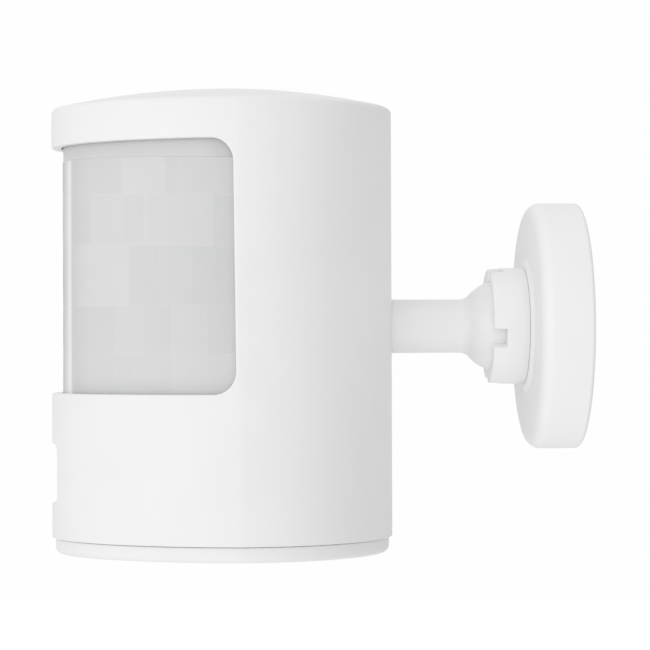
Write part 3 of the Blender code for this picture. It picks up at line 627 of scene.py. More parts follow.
WHITE = (0.875, 0.875, 0.872)
shell_white = plastic("shell_white_satin", WHITE, 0.40)
base_white = plastic("base_white_satin", tint(WHITE, 0.995), 0.42)
button_white = plastic("button_white_satin", WHITE, 0.36, grain_mm=0.18)
# The bracket and collar whites are lighter copies of the same white: painted light that brightens the disc
# and the collar.
bracket_white_painted_light = plastic("bracket_white_satin", tint(WHITE, 1.02), 0.43)
collar_white_painted_light = plastic("collar_white_satin", tint(WHITE, 1.01), 0.40)
stem_white = plastic("stem_white_satin", tint(WHITE, 0.985), 0.36, grain_mm=0.3)
plate_white = plastic("plate_white_satin", tint(WHITE, 0.95), 0.5)
liner_nylon = plastic("liner_nylon", (0.74, 0.74, 0.71), 0.55, 0.03)
lens_milk = lens_material("lens_milk_facets")
frame_grey = plastic("frame_grey", (0.58, 0.59, 0.60), 0.55, 0.03)
chassis_grey = plastic("chassis_grey", (0.50, 0.51, 0.52), 0.6, 0.04)
tray_grey = plastic("tray_grey", (0.44, 0.45, 0.46), 0.6, 0.04)
black_soft = plastic("moulded_black", (0.022, 0.022, 0.024), 0.5, 0.2)
black_satin = plastic("satin_black", (0.03, 0.03, 0.033), 0.38, 0.2)
tamper_white = plastic("tamper_white", (0.74, 0.74, 0.71), 0.42, 0.02)
led_red = plastic("led_red", (0.70, 0.05, 0.04), 0.14, 0.05, grain_depth=0.001)
filter_dark = plastic("filter_dark", (0.06, 0.06, 0.075), 0.1, 0.1, grain_depth=0.001)
sleeve_black = plastic("capacitor_sleeve", (0.025, 0.026, 0.045), 0.35, 0.15)
nickel = metal("nickel", (0.73, 0.71, 0.66), 0.28)
tin = metal("tin_plate", (0.70, 0.70, 0.69), 0.36, (30.0, 1.0, 1.0))
zinc = metal("zinc", (0.66, 0.67, 0.68), 0.32, (8.0, 8.0, 1.0), 0.1)
wire_gold = metal("lacquered_wire", (0.80, 0.60, 0.28), 0.3)
pcb_green = board("pcb_green")
ribbon = ribbon_material("flat_cable")
cell_mat = cell_skin("cell_can", (0.035, 0.04, 0.05), (0.75, 0.47, 0.22))


# ================================================================ housing shell
class Hole:
    """An opening in the (s, z) grid: i0..i1 and j0..j1 are the grid lines round it."""

    def __init__(self, s_mid, z_mid, outline, fillet, rings, lean=0.0):
        self.s_mid, self.z_mid = s_mid, z_mid
        self.lean = lean
        self.outline = outline
        self.fillet = fillet
        self.rings = rings


def round_outline(radius):
    def at(ds, dz):
        d = math.hypot(ds, dz)
        n = (ds / d, dz / d)
        return (n[0] * radius, n[1] * radius), n, d - radius

    return at


def corner_outline(half_s, half_z, radius):
    """A rounded rectangle; points outside it fall on it square to its edge."""

    def at(ds, dz):
        a, b = abs(ds), abs(dz)
        ka, kb = half_s - radius, half_z - radius
        if a <= ka:
            o, n, d = (a, half_z), (0.0, 1.0), b - half_z
        elif b <= kb:
            o, n, d = (half_s, b), (1.0, 0.0), a - half_s
        else:
            ex, ez = a - ka, b - kb
            r = math.hypot(ex, ez)
            n = (ex / r, ez / r)
            o, d = (ka + n[0] * radius, kb + n[1] * radius), r - radius
        sx, sz = math.copysign(1, ds), math.copysign(1, dz)
        return (o[0] * sx, o[1] * sz), (n[0] * sx, n[1] * sz), d

    return at


def build_shell():
    margin = 3.2
    rect = S_WINDOW + margin
    right = spread(
        [
            0.0,
            5.0,
            10.8,
            S_WINDOW - WINDOW_CORNER - 0.4,
            S_CREASE - 0.24,
            S_CREASE + 0.24,
            rect,
            HALF - 9.0,
            HALF,
        ],
        [1.0, 0.45, 1.3, 0.5, 0.16, 0.5, 1.3, 0.9],
    )
    lines_s = [-v for v in reversed(right[1:])] + right[:-1]
    n_s = len(lines_s)
    low, high = WINDOW_SILL - margin, WINDOW_TOP + margin
    lines_z = spread(
        [
            SHELL_BOTTOM + 0.25,
            BUTTON_Z - 8.6,
            BUTTON_Z - 2.8,
            BUTTON_Z + 2.8,
            BUTTON_Z + 8.6,
            low,
            WINDOW_SILL + WINDOW_CORNER + 0.1,
            9.0,
            WINDOW_TOP - WINDOW_CORNER - 0.2,
            high,
            TOP_EDGE,
        ],
        [1.6, 0.45, 1.2, 0.45, 1.6, 0.5, 0.9, 2.4, 0.5, 1.6],
    )
    n_z = len(lines_z)

    def nearest(lines, value):
        return min(range(len(lines)), key=lambda k: abs(lines[k] - value))

    z_mid = (WINDOW_TOP + WINDOW_SILL) / 2
    holes = []
    for hole, s0, s1, z0, z1 in (
        (
            Hole(
                0.0,
                z_mid,
                corner_outline(
                    S_WINDOW, (WINDOW_TOP - WINDOW_SILL) / 2, WINDOW_CORNER
                ),
                0.38,
                12,
                WINDOW_LEAN,
            ),
            -rect,
            rect,
            low,
            high,
        ),
        (
            Hole(
                0.0,
                BUTTON_Z,
                corner_outline(
                    s_at_x(BUTTON_HALF_WIDTH + 0.22),
                    BUTTON_HALF_HEIGHT + 0.22,
                    BUTTON_CORNER + 0.22,
                ),
                0.22,
                5,
            ),
            -10.8,
            10.8,
            BUTTON_Z - 8.6,
            BUTTON_Z + 8.6,
        ),
        (
            Hole(HALF, 0.0, round_outline(5.87), 0.35, 5),
            HALF - 9.0,
            HALF + 9.0,
            -9.0,
            9.0,
        ),
    ):
        i0 = nearest(lines_s, s0)
        i1 = (
            nearest(lines_s, s1) if s1 <= HALF else n_s + nearest(lines_s, s1 - 2 * HALF)
        )
        hole.i0, hole.i1 = i0, i1
        hole.j0, hole.j1 = nearest(lines_z, z0), nearest(lines_z, z1)
        holes.append(hole)

    def hidden(i, j):
        """True for a grid point strictly inside an opening's frame."""
        for h in holes:
            k = i if i >= h.i0 else i + n_s
            if h.i0 < k < h.i1 and h.j0 < j < h.j1:
                return True
        return False

    def cell_cut(i, j):
        for h in holes:
            k = i if i >= h.i0 else i + n_s
            if h.i0 <= k < h.i1 and h.j0 <= j < h.j1:
                return True
        return False

    skin = Skin()
    layers = []
    for depth in (0.0, WALL):
        grid = {}
        for j, z in enumerate(lines_z):
            for i, s in enumerate(lines_s):
                if not hidden(i, j):
                    grid[i, j] = skin.point(shell_point(s, z, depth))
        for j in range(n_z - 1):
            for i in range(n_s):
                if not cell_cut(i, j):
                    k = (i + 1) % n_s
                    skin.f.append((grid[i, j], grid[k, j], grid[k, j + 1], grid[i, j + 1]))
        layers.append(grid)

    for h in holes:
        border = []
        border += [(i, h.j0) for i in range(h.i0, h.i1)]
        border += [(h.i1, j) for j in range(h.j0, h.j1)]
        border += [(i, h.j1) for i in range(h.i1, h.i0, -1)]
        border += [(h.i0, j) for j in range(h.j1, h.j0, -1)]
        where = []
        for i, j in border:
            s = lines_s[i % n_s] + (2 * HALF if i >= n_s else 0.0)
            where.append(h.outline(s - h.s_mid, lines_z[j] - h.z_mid))
        ends = []
        for grid, depth, r, turn in (
            (layers[0], 0.0, h.fillet, 1),
            (layers[1], WALL, 0.15, -1),
        ):
            loops = [[grid[i % n_s, j] for i, j in border]]
            for k in range(1, h.rings + 1):
                t = (1 - k / h.rings) ** 1.35
                loops.append(
                    skin.loop(
                        [
                            shell_point(
                                h.s_mid
                                + (o[0] + n[0] * (r + (d - r) * t))
                                * (1 - h.lean * o[1] * (1 - t)),
                                h.z_mid + o[1] + n[1] * (r + (d - r) * t),
                                depth,
                            )
                            for o, n, d in where
                        ]
                    )
                )
            for k in range(1, 6):
                a = math.radians(18 * k)
                e, down = r * (1 - math.sin(a)), r * (1 - math.cos(a)) * turn
                loops.append(
                    skin.loop(
                        [
                            shell_point(
                                h.s_mid + (o[0] + n[0] * e) * (1 - h.lean * o[1]),
                                h.z_mid + o[1] + n[1] * e,
                                depth + down,
                            )
                            for o, n, d in where
                        ]
                    )
                )
            skin.stack(loops)
            ends.append(loops[-1])
        skin.bridge(ends[0], ends[1])

    def rim(depth, z, shrink=1.0):
        pts = []
        for s in lines_s:
            x, y = on_plan(s, depth)
            pts.append((x * shrink, CENTRE_Y + (y - CENTRE_Y) * shrink, z))
        return skin.loop(pts)

    # Lower edge, rounded on both sides.
    low_loops = [[layers[0][i, 0] for i in range(n_s)]]
    for k in range(1, 4):
        a = math.radians(30 * k)
        low_loops.append(
            rim(0.25 * (1 - math.cos(a)), SHELL_BOTTOM + 0.25 * (1 - math.sin(a)))
        )
    for k in range(3, 0, -1):
        a = math.radians(30 * k)
        low_loops.append(
            rim(WALL - 0.25 * (1 - math.cos(a)), SHELL_BOTTOM + 0.25 * (1 - math.sin(a)))
        )
    low_loops.append([layers[1][i, 0] for i in range(n_s)])
    skin.stack(low_loops)

    # Top: a small fillet, then the dome.
    top = [[layers[0][i, n_z - 1] for i in range(n_s)]]
    last = math.radians(77.0)
    for k in range(1, 9):
        a = last * k / 8
        top.append(
            rim(TOP_FILLET * (1 - math.cos(a)), TOP_EDGE + TOP_FILLET * math.sin(a))
        )
    edge_in = TOP_FILLET * (1 - math.cos(last))
    edge_z = TOP_EDGE + TOP_FILLET * math.sin(last)
    for g in (0.985, 0.965, 0.935, 0.895, 0.84, 0.78, 0.70, 0.61, 0.52, 0.43, 0.34, 0.25, 0.16, 0.08, 0.03):
        top.append(rim(edge_in, edge_z + (SHELL_TOP - edge_z) * (1 - g * g), g))
    skin.stack(top)
    skin.fan(top[-1], (0, CENTRE_Y, SHELL_TOP))
    inner = [[layers[1][i, n_z - 1] for i in range(n_s)]]
    edge_z -= WALL
    for g in (0.97, 0.85, 0.7, 0.5, 0.3, 0.12):
        inner.append(rim(WALL, edge_z + (SHELL_TOP - WALL - edge_z) * (1 - g * g), g))
    skin.stack(inner)
    skin.fan(inner[-1], (0, CENTRE_Y, SHELL_TOP - WALL))

    # Guide ring behind the button, boss behind the stem's seat, screw bosses.
    guide = []
    for grow, end in ((0.35, 0), (2.4, 0), (2.5, 1), (2.3, 2), (0.5, 2), (0.35, 1)):
        loop = []
        for x, z in button_outline(grow, 8):
            front = on_plan(s_at_x(x, 1.2), 1.2)[1]
            loop.append((x, (front, -FRONT_U + 3.7, -FRONT_U + 3.88)[end], z))
        guide.append(skin.loop(loop))
    skin.stack(guide)
    skin.bridge(guide[-1], guide[0])
    lathe(
        skin,
        ring_closed(
            [
                (9.0, BACK_U + 1.5),
                (4.2, BACK_U + 1.5, 0.2),
                (4.2, BACK_U + 4.0, 0.2),
                (9.0, BACK_U + 4.0, 0.4),
            ]
        ),
        96,
        True,
    )
    for side in (1, -1):
        lathe(
            skin,
            ring_closed(
                [
                    (1.4, -37.8, 0.2),
                    (3.0, -37.8, 0.3),
                    (3.0, -25.0, 0.4),
                    (1.4, -25.0),
                ]
            ),
            48,
            True,
            place=about_z,
            cx=side * 26.5,
            cy=-62.0,
        )
        x = sorted((side * 29.2, side * 31.6))
        block(skin, (x[0], -63.0, -37.6), (x[1], -61.0, -25.2), 0.3)
    return make(
        "shell", skin, shell_white, "sensor_head", ["housing_shell"]
    )


# ================================================================ lens
ROWS = [32.9, 25.8, 16.3, 3.8, -5.6, WINDOW_SILL]
# Facet edges on one side of the lens in each row, as y on the lens's face.
COLUMNS = [
    (-104.6, -103.0, -94.4, -85.9, -83.4),
    (-104.6, -100.6, -94.4, -90.0, -76.6),
    (-104.6, -103.2, -98.1, -93.0, -87.2, -80.8),
    (-104.6, -95.8, -90.2, -84.8, -77.8),
    (-104.6, -95.8, -92.2, -84.6),
]


# A moulded bead runs down each side of the nose. The tone along y is painted light and shade: painted shade
# at the nose's middle, a painted highlight rising to the bead, and painted shade towards the window's rear
# edge.
RIDGE_Y = tuple(
    -106.85 + d
    for d in (0.03, 0.19, 0.46, 0.74, 1.01, 1.28, 1.54, 1.80, 1.95, 2.10, 2.25, 2.5)
)
BEAD_Y = RIDGE_Y[7]
PAINTED_SHADING_Y = RIDGE_Y + (-101.2, -93.1, -84.9, -77.8, -74.7, -72.2)
PAINTED_SHADING = (
    (0.22, 0.26, 0.35, 0.44, 0.53, 0.62, 0.72, 0.81, 0.65, 0.45, 0.39, 0.41)
    + (0.475, 0.475, 0.44, 0.415, 0.40, 0.41)
)
# How far each row's line rises towards the nose and sinks towards the rear.
BEND_Z = (-16.4, -5.6, 3.8, 16.3, 25.8, 32.9, 39.6)
BEND_NOSE = (0.0, 0.1, 0.4, 0.25, 0.95, 0.95, 0.0)
BEND_REAR = (0.0, 0.0, 0.15, -0.8, -0.37, 0.0, 0.0)


def build_lens():
    end = s_at_y(-70.4, LENS_SETBACK)
    low, high = WINDOW_SILL - 2.9, WINDOW_TOP + 2.9
    cuts = [[s_at_y(y, LENS_SETBACK) for y in row] for row in COLUMNS]
    lines = set(spread([0.0, end], [1.1]))
    lines |= {s_at_y(y, LENS_SETBACK) for y in RIDGE_Y}
    thirds = {row[0] / 3 for row in cuts}
    for c in sorted({round(v, 3) for row in cuts for v in row} | thirds):
        lines |= {c + e for e in (-0.3, -0.15, -0.07, 0.0, 0.07, 0.15, 0.3)}
    lines = sorted(v for v in lines if 0 <= v <= end)
    keep = [lines[0]]
    for v in lines[1:]:
        if v - keep[-1] > 0.045:
            keep.append(v)
    keep[-1] = end
    lines_s = [-v for v in reversed(keep[1:])] + keep
    lines = set(spread([low, high], [1.5]))
    for c in ROWS[:-1]:
        lines |= {c + e for e in (-0.3, -0.15, -0.07, 0.0, 0.07, 0.15, 0.3)}
    lines = sorted(v for v in lines if low <= v <= high)
    lines_z = [lines[0]]
    for v in lines[1:]:
        if v - lines_z[-1] > 0.045:
            lines_z.append(v)
    lines_z[-1] = high
    dice = random.Random(7)
    looks = {}

    def look(row, col, side):
        key = (row, col, side)
        if key not in looks:
            looks[key] = (
                dice.uniform(-1, 1),
                dice.uniform(-1, 1),
                dice.uniform(-1, 1),
            )
        return looks[key]

    for row in range(5):
        for col in range(8):
            for side in (1, -1):
                look(row, col, side)
    for row in range(5):
        for col in (20, 21, 22):
            look(row, col, 1)

    def facet(s, z):
        """(height off the face, tone, pale line, u, v) at a point of the lens."""
        a, side = abs(s), -1 if s < 0 else 1
        if z > ROWS[0]:
            border = max(0.0, 1 - (z - ROWS[0]) / 0.12)
            return -0.10 * (1 - border), 0.0, 0.5 * border, 0.0, 0.0
        row = next((k for k in range(5) if z >= ROWS[k + 1]), 4)
        top, bottom = ROWS[row], ROWS[row + 1] if row < 4 else low
        edges = cuts[row]
        col = sum(1 for e in edges if e <= a)
        if col == 0:
            third = edges[0] / 3
            part = min(int((s + edges[0]) / (2 * third)), 2)
            left = -edges[0] + 2 * third * part
            right = left + 2 * third
            col, side = 20 + part, 1
            at = s
        else:
            left = edges[col - 1]
            right = edges[col] if col < len(edges) else end + 3.0
            at = a
        mid, half = (left + right) / 2, (right - left) / 2
        u = (at - mid) / half
        v = (z - (top + bottom) / 2) / ((top - bottom) / 2)
        rnd = look(row, col, side)
        swell = (1 - u * u) * (1 - v * v)
        height = swell * (0.055 + 0.03 * rnd[0] * u + 0.03 * rnd[1] * v)
        across = half * (1 - abs(u)) if col > 1 or u > 0 else 9.0
        if col >= 20 and abs(s) > edges[0] / 2:
            across = 9.0
        along = (top - bottom) / 2 * (1 - abs(v)) if row < 4 or v > 0 else 9.0
        line = max(
            math.exp(-((across / 0.12) ** 2)) * (0.55 + 0.45 * rnd[1]),
            math.exp(-((along / 0.12) ** 2)) * (0.8 + 0.2 * rnd[0]),
        )
        line = max(line, 0.0)
        height += 0.035 * line
        return height, rnd[2], line, (at - mid) / 10.0, (z - (top + bottom) / 2) / 10.0

    skin = Skin()
    info = []
    rows = []
    for z in lines_z:
        row = []
        for s in lines_s:
            f = facet(s, z)
            y = on_plan(s, LENS_SETBACK)[1]
            bead = 0.07 * math.exp(-(((y - BEAD_Y) / 0.2) ** 2))
            w = min(max((-72.0 - y) / 34.8, 0.0), 1.0)
            rear, nose = np.interp(z, BEND_Z, BEND_REAR), np.interp(z, BEND_Z, BEND_NOSE)
            at = z + rear + (nose - rear) * w
            row.append(skin.point(shell_point(s, at, LENS_SETBACK - f[0] - bead)))
            # The tone starts from painted light and shade along y: painted shade at the nose's middle, a
            # painted highlight at the bead, painted shade towards the rear edge.
            tone = float(np.interp(y, PAINTED_SHADING_Y, PAINTED_SHADING))
            # Painted shadow on the plain border under the window's top, deepest towards the rear corner.
            if z > ROWS[0]:
                tone = float(np.interp(y, (-107.0, -79.0, -73.0), (0.45, 0.45, 0.32)))
            elif y > RIDGE_Y[-1]:
                tone += 0.030 * f[1] + 0.055 * f[2]
                # Painted shade along the sill: darker towards the bottom of the window.
                tone -= 0.11 * max(0.0, 1 - (z - WINDOW_SILL) / 3.4)
            elif y < RIDGE_Y[6]:
                tone += 0.035 * f[1] + 0.07 * f[2]
            info.append((tone, f[3], f[4]))
        rows.append(row)
    for a, b in zip(rows, rows[1:]):
        skin.bridge(a, b, closed=False)
    obj = make(
        "lens",
        skin,
        lens_milk,
        "sensor_head",
        ["fresnel_lens"],
        sharp=60,
        closed=False,
    )
    mesh = obj.data
    tone = mesh.attributes.new("tone", "FLOAT", "POINT")
    tone.data.foreach_set("value", [i[0] for i in info])
    uv = mesh.uv_layers.new(name="facet")
    for item in mesh.loops:
        uv.data[item.index].uv = (info[item.vertex_index][1], info[item.vertex_index][2])
    first = mesh.polygons[0]
    outward = Vector((*on_plan(lines_s[0]), 0)) - Vector((0, CENTRE_Y, 0))
    thick = obj.modifiers.new("thickness", "SOLIDIFY")
    thick.thickness = LENS_THICK * MM
    thick.offset = -1.0 if first.normal.dot(outward) > 0 else 1.0
    thick.use_even_offset = True
    return obj




# ================================================================ base cap
def build_cap():
    skin = Skin()
    count = 260
    stations = [2 * HALF * k / count - HALF for k in range(count)]

    def rim(depth, z, shrink=1.0):
        pts = []
        for s in stations:
            x, y = on_plan(s, depth)
            pts.append((x * shrink, CENTRE_Y + (y - CENTRE_Y) * shrink, z))
        return skin.loop(pts)

    skirt = WALL + 0.35
    outline = rounded(
        [
            (skirt + 2.6, CAP_TOP - 1.2),
            (skirt + 1.2, CAP_TOP - 1.2, 0.3),
            (skirt + 1.2, -40.6, 0.3),
            (skirt, -40.6, 0.3),
            (skirt, CAP_TOP, 0.15),
            (BASE_INSET, CAP_TOP, 0.22),
            (BASE_INSET, BASE_BOTTOM, 1.3),
            (skirt + 2.6, BASE_BOTTOM),
        ],
        7,
    )
    loops = [rim(d, z) for d, z in outline]
    skin.stack(loops)
    top_in, bottom_in = loops[0], loops[-1]

    def close(loop, depth, z, crown):
        chain = [loop]
        for g in (0.8, 0.6, 0.4, 0.2, 0.08):
            chain.append(rim(depth, z + crown * (1 - g * g), g))
        skin.stack(chain)
        skin.fan(chain[-1], (0, CENTRE_Y, z + crown))

    close(top_in, skirt + 2.6, CAP_TOP - 1.2, 0.0)
    close(bottom_in, skirt + 2.6, BASE_BOTTOM, 0.0)
    lathe(
        skin,
        rounded(
            [
                (0.0, -41.7),
                (2.0, -41.7, 0.3),
                (2.0, CAP_TOP - 1.3),
                (0.0, CAP_TOP - 1.3),
            ]
        ),
        48,
        place=about_z,
        cx=21.0,
        cy=-70.3,
    )
    return make("cap", skin, base_white, "base", ["base_cap"])


# ================================================================ bracket
def build_disc():
    skin = Skin()
    hole = 11.85
    inner = DISC_RADIUS - 1.8
    lathe(
        skin,
        ring_closed(
            [
                (hole, LIP_TOP, 0.08),
                (hole + 0.95, LIP_TOP, 0.3),
                (hole + 2.0, DISC_DEPTH, 0.5),
                (DISC_RADIUS, DISC_DEPTH, 2.7),
                (DISC_RADIUS, 0.0, 1.1),
                (inner, 0.0, 0.15),
                (inner, DISC_DEPTH - 1.8, 1.0),
                (hole, DISC_DEPTH - 1.8),
            ],
            10,
        ),
        256,
        True,
    )
    return make("disc", skin, bracket_white_painted_light, "wall_mount", ["cover_disc"])


def build_plate():
    skin = Skin()
    seat = BALL_RADIUS + 1.2
    edge = math.degrees(math.acos((BALL_U - 10.0) / seat))
    cup = []
    for k in range(25):
        a = math.radians(edge * k / 24)
        cup.append((seat * math.sin(a), BALL_U - seat * math.cos(a)))
    outer = rounded(
        [
            (9.35, 10.0),
            (10.45, 10.0, 0.4),
            (10.45, 2.4, 0.5),
            (23.2, 2.4, 0.4),
            (23.2, 0.0, 0.15),
            (0.0, 0.0),
        ]
    )
    lathe(skin, cup[:-1] + [(seat * math.sin(math.radians(edge)), 10.0)] + outer[1:], 200)
    obj = make("plate", skin, plate_white, "wall_mount", ())
    cutters = []
    for side in (1, -1):
        cut = Skin()
        lathe(
            cut,
            [(0.0, 4.0), (6.2, 4.0), (2.2, 0.9), (2.2, -1.0), (0.0, -1.0)],
            72,
            cz=side * 16.5,
        )
        mesh = bpy.data.meshes.new("sink")
        mesh.from_pydata([tuple(c * MM for c in p) for p in cut.v], [], cut.f)
        bm = bmesh.new()
        bm.from_mesh(mesh)
        bmesh.ops.recalc_face_normals(bm, faces=bm.faces)
        bm.to_mesh(mesh)
        bm.free()
        cutter = bpy.data.objects.new("sink", mesh)
        bpy.context.scene.collection.objects.link(cutter)
        m = obj.modifiers.new(f"sink_{side}", "BOOLEAN")
        m.object = cutter
        m.solver = "EXACT"
        cutters.append(cutter)
    bpy.context.view_layer.update()
    graph = bpy.context.evaluated_depsgraph_get()
    done = bpy.data.meshes.new_from_object(obj.evaluated_get(graph))
    obj.modifiers.clear()
    obj.data = done
    done.set_sharp_from_angle(angle=math.radians(38))
    for cutter in cutters:
        bpy.data.objects.remove(cutter, do_unlink=True)
    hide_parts("base_plate")
    return obj


def build_collar():
    """The turned collar with four open notches in its rim, as one swept section
    whose top drops to the notch's floor between its sides."""
    skin = Skin()
    grip = BALL_RADIUS + 0.04
    hole = 11.55
    low_r, rim_r = 12.05, 11.8
    notch_half, notch_deep = 1.85, 2.7
    soft = 0.22
    stations = []
    for k in range(4):
        middle = math.radians(-12.7 + 90 * k)
        half = notch_half / 11.2
        s = soft / 11.2
        profile = [
            (-half - s, 0.0),
            (-half - s * 0.5, 0.10),
            (-half - s * 0.13, 0.45),
            (-half, 1.0),
            (-half + 0.01 * s, 4.0),
            (-half + 0.02 * s, 5.0),
            (-half + s * 0.4, 5.7),
            (-half + s, 6.0),
        ]
        stations += [(middle + a, d) for a, d in profile]
        inside = 10
        for i in range(1, inside):
            t = -1 + 2 * i / inside
            stations.append((middle + t * (half - s), 6.0))
        stations += [(middle - a, d) for a, d in reversed(profile)]
        span = math.radians(90) - 2 * (half + s)
        for i in range(1, 40):
            stations.append((middle + half + s + span * i / 40, 0.0))

    def drop(d):
        """How far the rim is lowered: 0 to 1 rounds the top corner, 5 to 6 the floor's."""
        if d <= 1:
            return soft * d
        if d >= 5:
            return notch_deep - soft * (6 - d)
        return soft + (notch_deep - 2 * soft) * (d - 1) / 4

    lip_angle = math.acos((BALL_U - COLLAR_RIM) / grip)
    loops = []
    for angle, d in stations:
        top = COLLAR_RIM - drop(d)
        taper = low_r + (rim_r - low_r) * max(0.0, (top - (COLLAR_RIM - 3.6)) / 3.6)
        r = 0.32
        inner_r = math.sqrt(max(grip**2 - (top - BALL_U) ** 2, 0.01))
        section = [(hole, COLLAR_LOW), (low_r - 0.08, COLLAR_LOW)]
        section += [(low_r - 0.02, COLLAR_LOW + 0.02), (low_r, COLLAR_LOW + 0.08)]
        section += [(low_r, 13.2), (low_r, COLLAR_RIM - 3.6)]
        wall_top = top - r
        for k in range(1, 6):
            u = COLLAR_RIM - 3.6 + (wall_top - (COLLAR_RIM - 3.6)) * k / 5
            section.append(
                (low_r + (rim_r - low_r) * (u - (COLLAR_RIM - 3.6)) / 3.6, u)
            )
        edge_r = section[-1][0]
        for k in range(1, 6):
            a = math.radians(18 * k)
            section.append((edge_r - r * (1 - math.cos(a)), wall_top + r * math.sin(a)))
        section.append((inner_r + 0.45, top))
        section.append((inner_r + 0.2, top - 0.03))
        section.append((inner_r + 0.06, top - 0.14))
        floor_angle = math.acos(max(-1, min(1, (BALL_U - (top - 0.3)) / grip)))
        for k in range(0, 9):
            a = floor_angle + (math.radians(92) - floor_angle) * k / 8
            section.append((grip * math.sin(a), BALL_U - grip * math.cos(a)))
        section += [(10.75, 14.9), (10.75, 14.4), (10.75, 4.75), (10.9, 4.6)]
        section += [(hole - 0.15, 4.6), (hole, 4.75)]
        loops.append(skin.loop([about_y(q, u, angle) for q, u in section]))
    n = len(loops)
    count = len(loops[0])
    for i in range(n):
        a, b = loops[i], loops[(i + 1) % n]
        for k in range(count):
            j = (k + 1) % count
            skin.f.append((a[k], a[j], b[j], b[k]))
    return make("collar_ring", skin, collar_white_painted_light, "collar", ["collar_nut"], 50)


def build_stem():
    skin = Skin()
    shoulder, spigot_end = BACK_U + 1.2, -stem_lo[1]
    join = math.degrees(math.asin(5.5 / BALL_RADIUS))
    profile = rounded(
        [
            (0.0, spigot_end),
            (3.9, spigot_end, 0.5),
            (3.9, shoulder),
            (5.57, shoulder, 0.2),
            (5.53, BACK_U - 7.0),
            (5.52, BALL_U + 8.75, 0.5),
            (5.80, BALL_U + 8.05),
        ],
        8,
    )
    arc = []
    start = 180 - join - 4.2
    for k in range(73):
        a = math.radians(start * (1 - k / 72))
        arc.append((BALL_RADIUS * math.sin(a), BALL_U - BALL_RADIUS * math.cos(a)))
    arc[-1] = (0.0, BALL_U - BALL_RADIUS)
    lathe(skin, profile[:-1] + arc, 160)
    return make("ball_and_stem", skin, stem_white, "arm", ["ball_stem"], 50)


def build_liner():
    skin = Skin()
    inner, outer = BALL_RADIUS + 0.3, BALL_RADIUS + 0.9
    pts = []
    for radius, order in ((inner, range(0, 19)), (outer, range(18, -1, -1))):
        for k in order:
            a = math.radians(35.0 * k / 18)
            pts.append((radius * math.sin(a), BALL_U - radius * math.cos(a)))
    lathe(skin, pts, 96)
    return make("liner", skin, liner_nylon, "ball_liner", ["socket_liner"])


# ================================================================ test button
def button_outline(grow, steps=10):
    """The button's rounded outline in x, z, grown by so much all round."""
    r = BUTTON_CORNER + grow
    wide = BUTTON_HALF_WIDTH - BUTTON_CORNER
    high = BUTTON_HALF_HEIGHT - BUTTON_CORNER
    points = []
    for sx, sz, start in ((1, 1, 0), (-1, 1, 90), (-1, -1, 180), (1, -1, 270)):
        for i in range(steps + 1):
            a = math.radians(start + 90 * i / steps)
            points.append(
                (sx * wide + r * math.cos(a), BUTTON_Z + sz * high + r * math.sin(a))
            )
        for f in (0.2, 0.4, 0.6, 0.8):
            if sx == sz:
                points.append((sx * wide * (1 - 2 * f), BUTTON_Z + sz * (high + r)))
            else:
                points.append((sx * (wide + r), BUTTON_Z + sz * high * (1 - 2 * f)))
    return points


def build_button():
    skin = Skin()
    edge = 0.32

    def face(x, z):
        follow = on_plan(s_at_x(x, 0.25), 0.25)[1]
        bowl = (1 - (x / BUTTON_HALF_WIDTH) ** 2) * (1 - ((z - BUTTON_Z) / BUTTON_HALF_HEIGHT) ** 2)
        flat = -FRONT_U + BUTTON_FACE + 0.18 * max(bowl, 0.0)
        k = 0.15
        h = max(0.0, k - abs(follow - flat)) / k
        return max(follow, flat) + h * h * k * 0.25

    loops = []
    core = button_outline(-edge)
    for g in (0.08, 0.25, 0.45, 0.62, 0.77, 0.88, 0.95):
        loops.append(
            skin.loop(
                [
                    (x * g, face(x * g, BUTTON_Z + (z - BUTTON_Z) * g), BUTTON_Z + (z - BUTTON_Z) * g)
                    for x, z in core
                ]
            )
        )
    for k in range(6):
        a = math.radians(18 * k)
        loops.append(
            skin.loop(
                [
                    (x, face(x, z) + edge * (1 - math.cos(a)), z)
                    for x, z in button_outline(-edge * (1 - math.sin(a)))
                ]
            )
        )
    for grow, y in (
        (0.0, 2.9),
        (0.0, 4.15),
        (0.06, 4.3),
        (1.35, 4.3),
        (1.5, 4.42),
        (1.5, 5.15),
        (1.35, 5.3),
    ):
        loops.append(skin.loop([(x, -FRONT_U + y, z) for x, z in button_outline(grow)]))
    start = button_outline(0.0)
    for r, y in ((2.3, -103.9), (2.0, -103.6), (2.0, -100.4), (1.8, -100.2), (0.6, -100.2)):
        ring = []
        for x, z in start:
            a = math.atan2(z - BUTTON_Z, x)
            ring.append((r * math.cos(a), y, BUTTON_Z + r * math.sin(a)))
        loops.append(skin.loop(ring))
    skin.stack(loops)
    skin.fan(loops[0], (0, face(0, BUTTON_Z), BUTTON_Z))
    skin.fan(loops[-1], (0, -100.2, BUTTON_Z))
    return make("button_cap", skin, button_white, "button", ["test_button"])


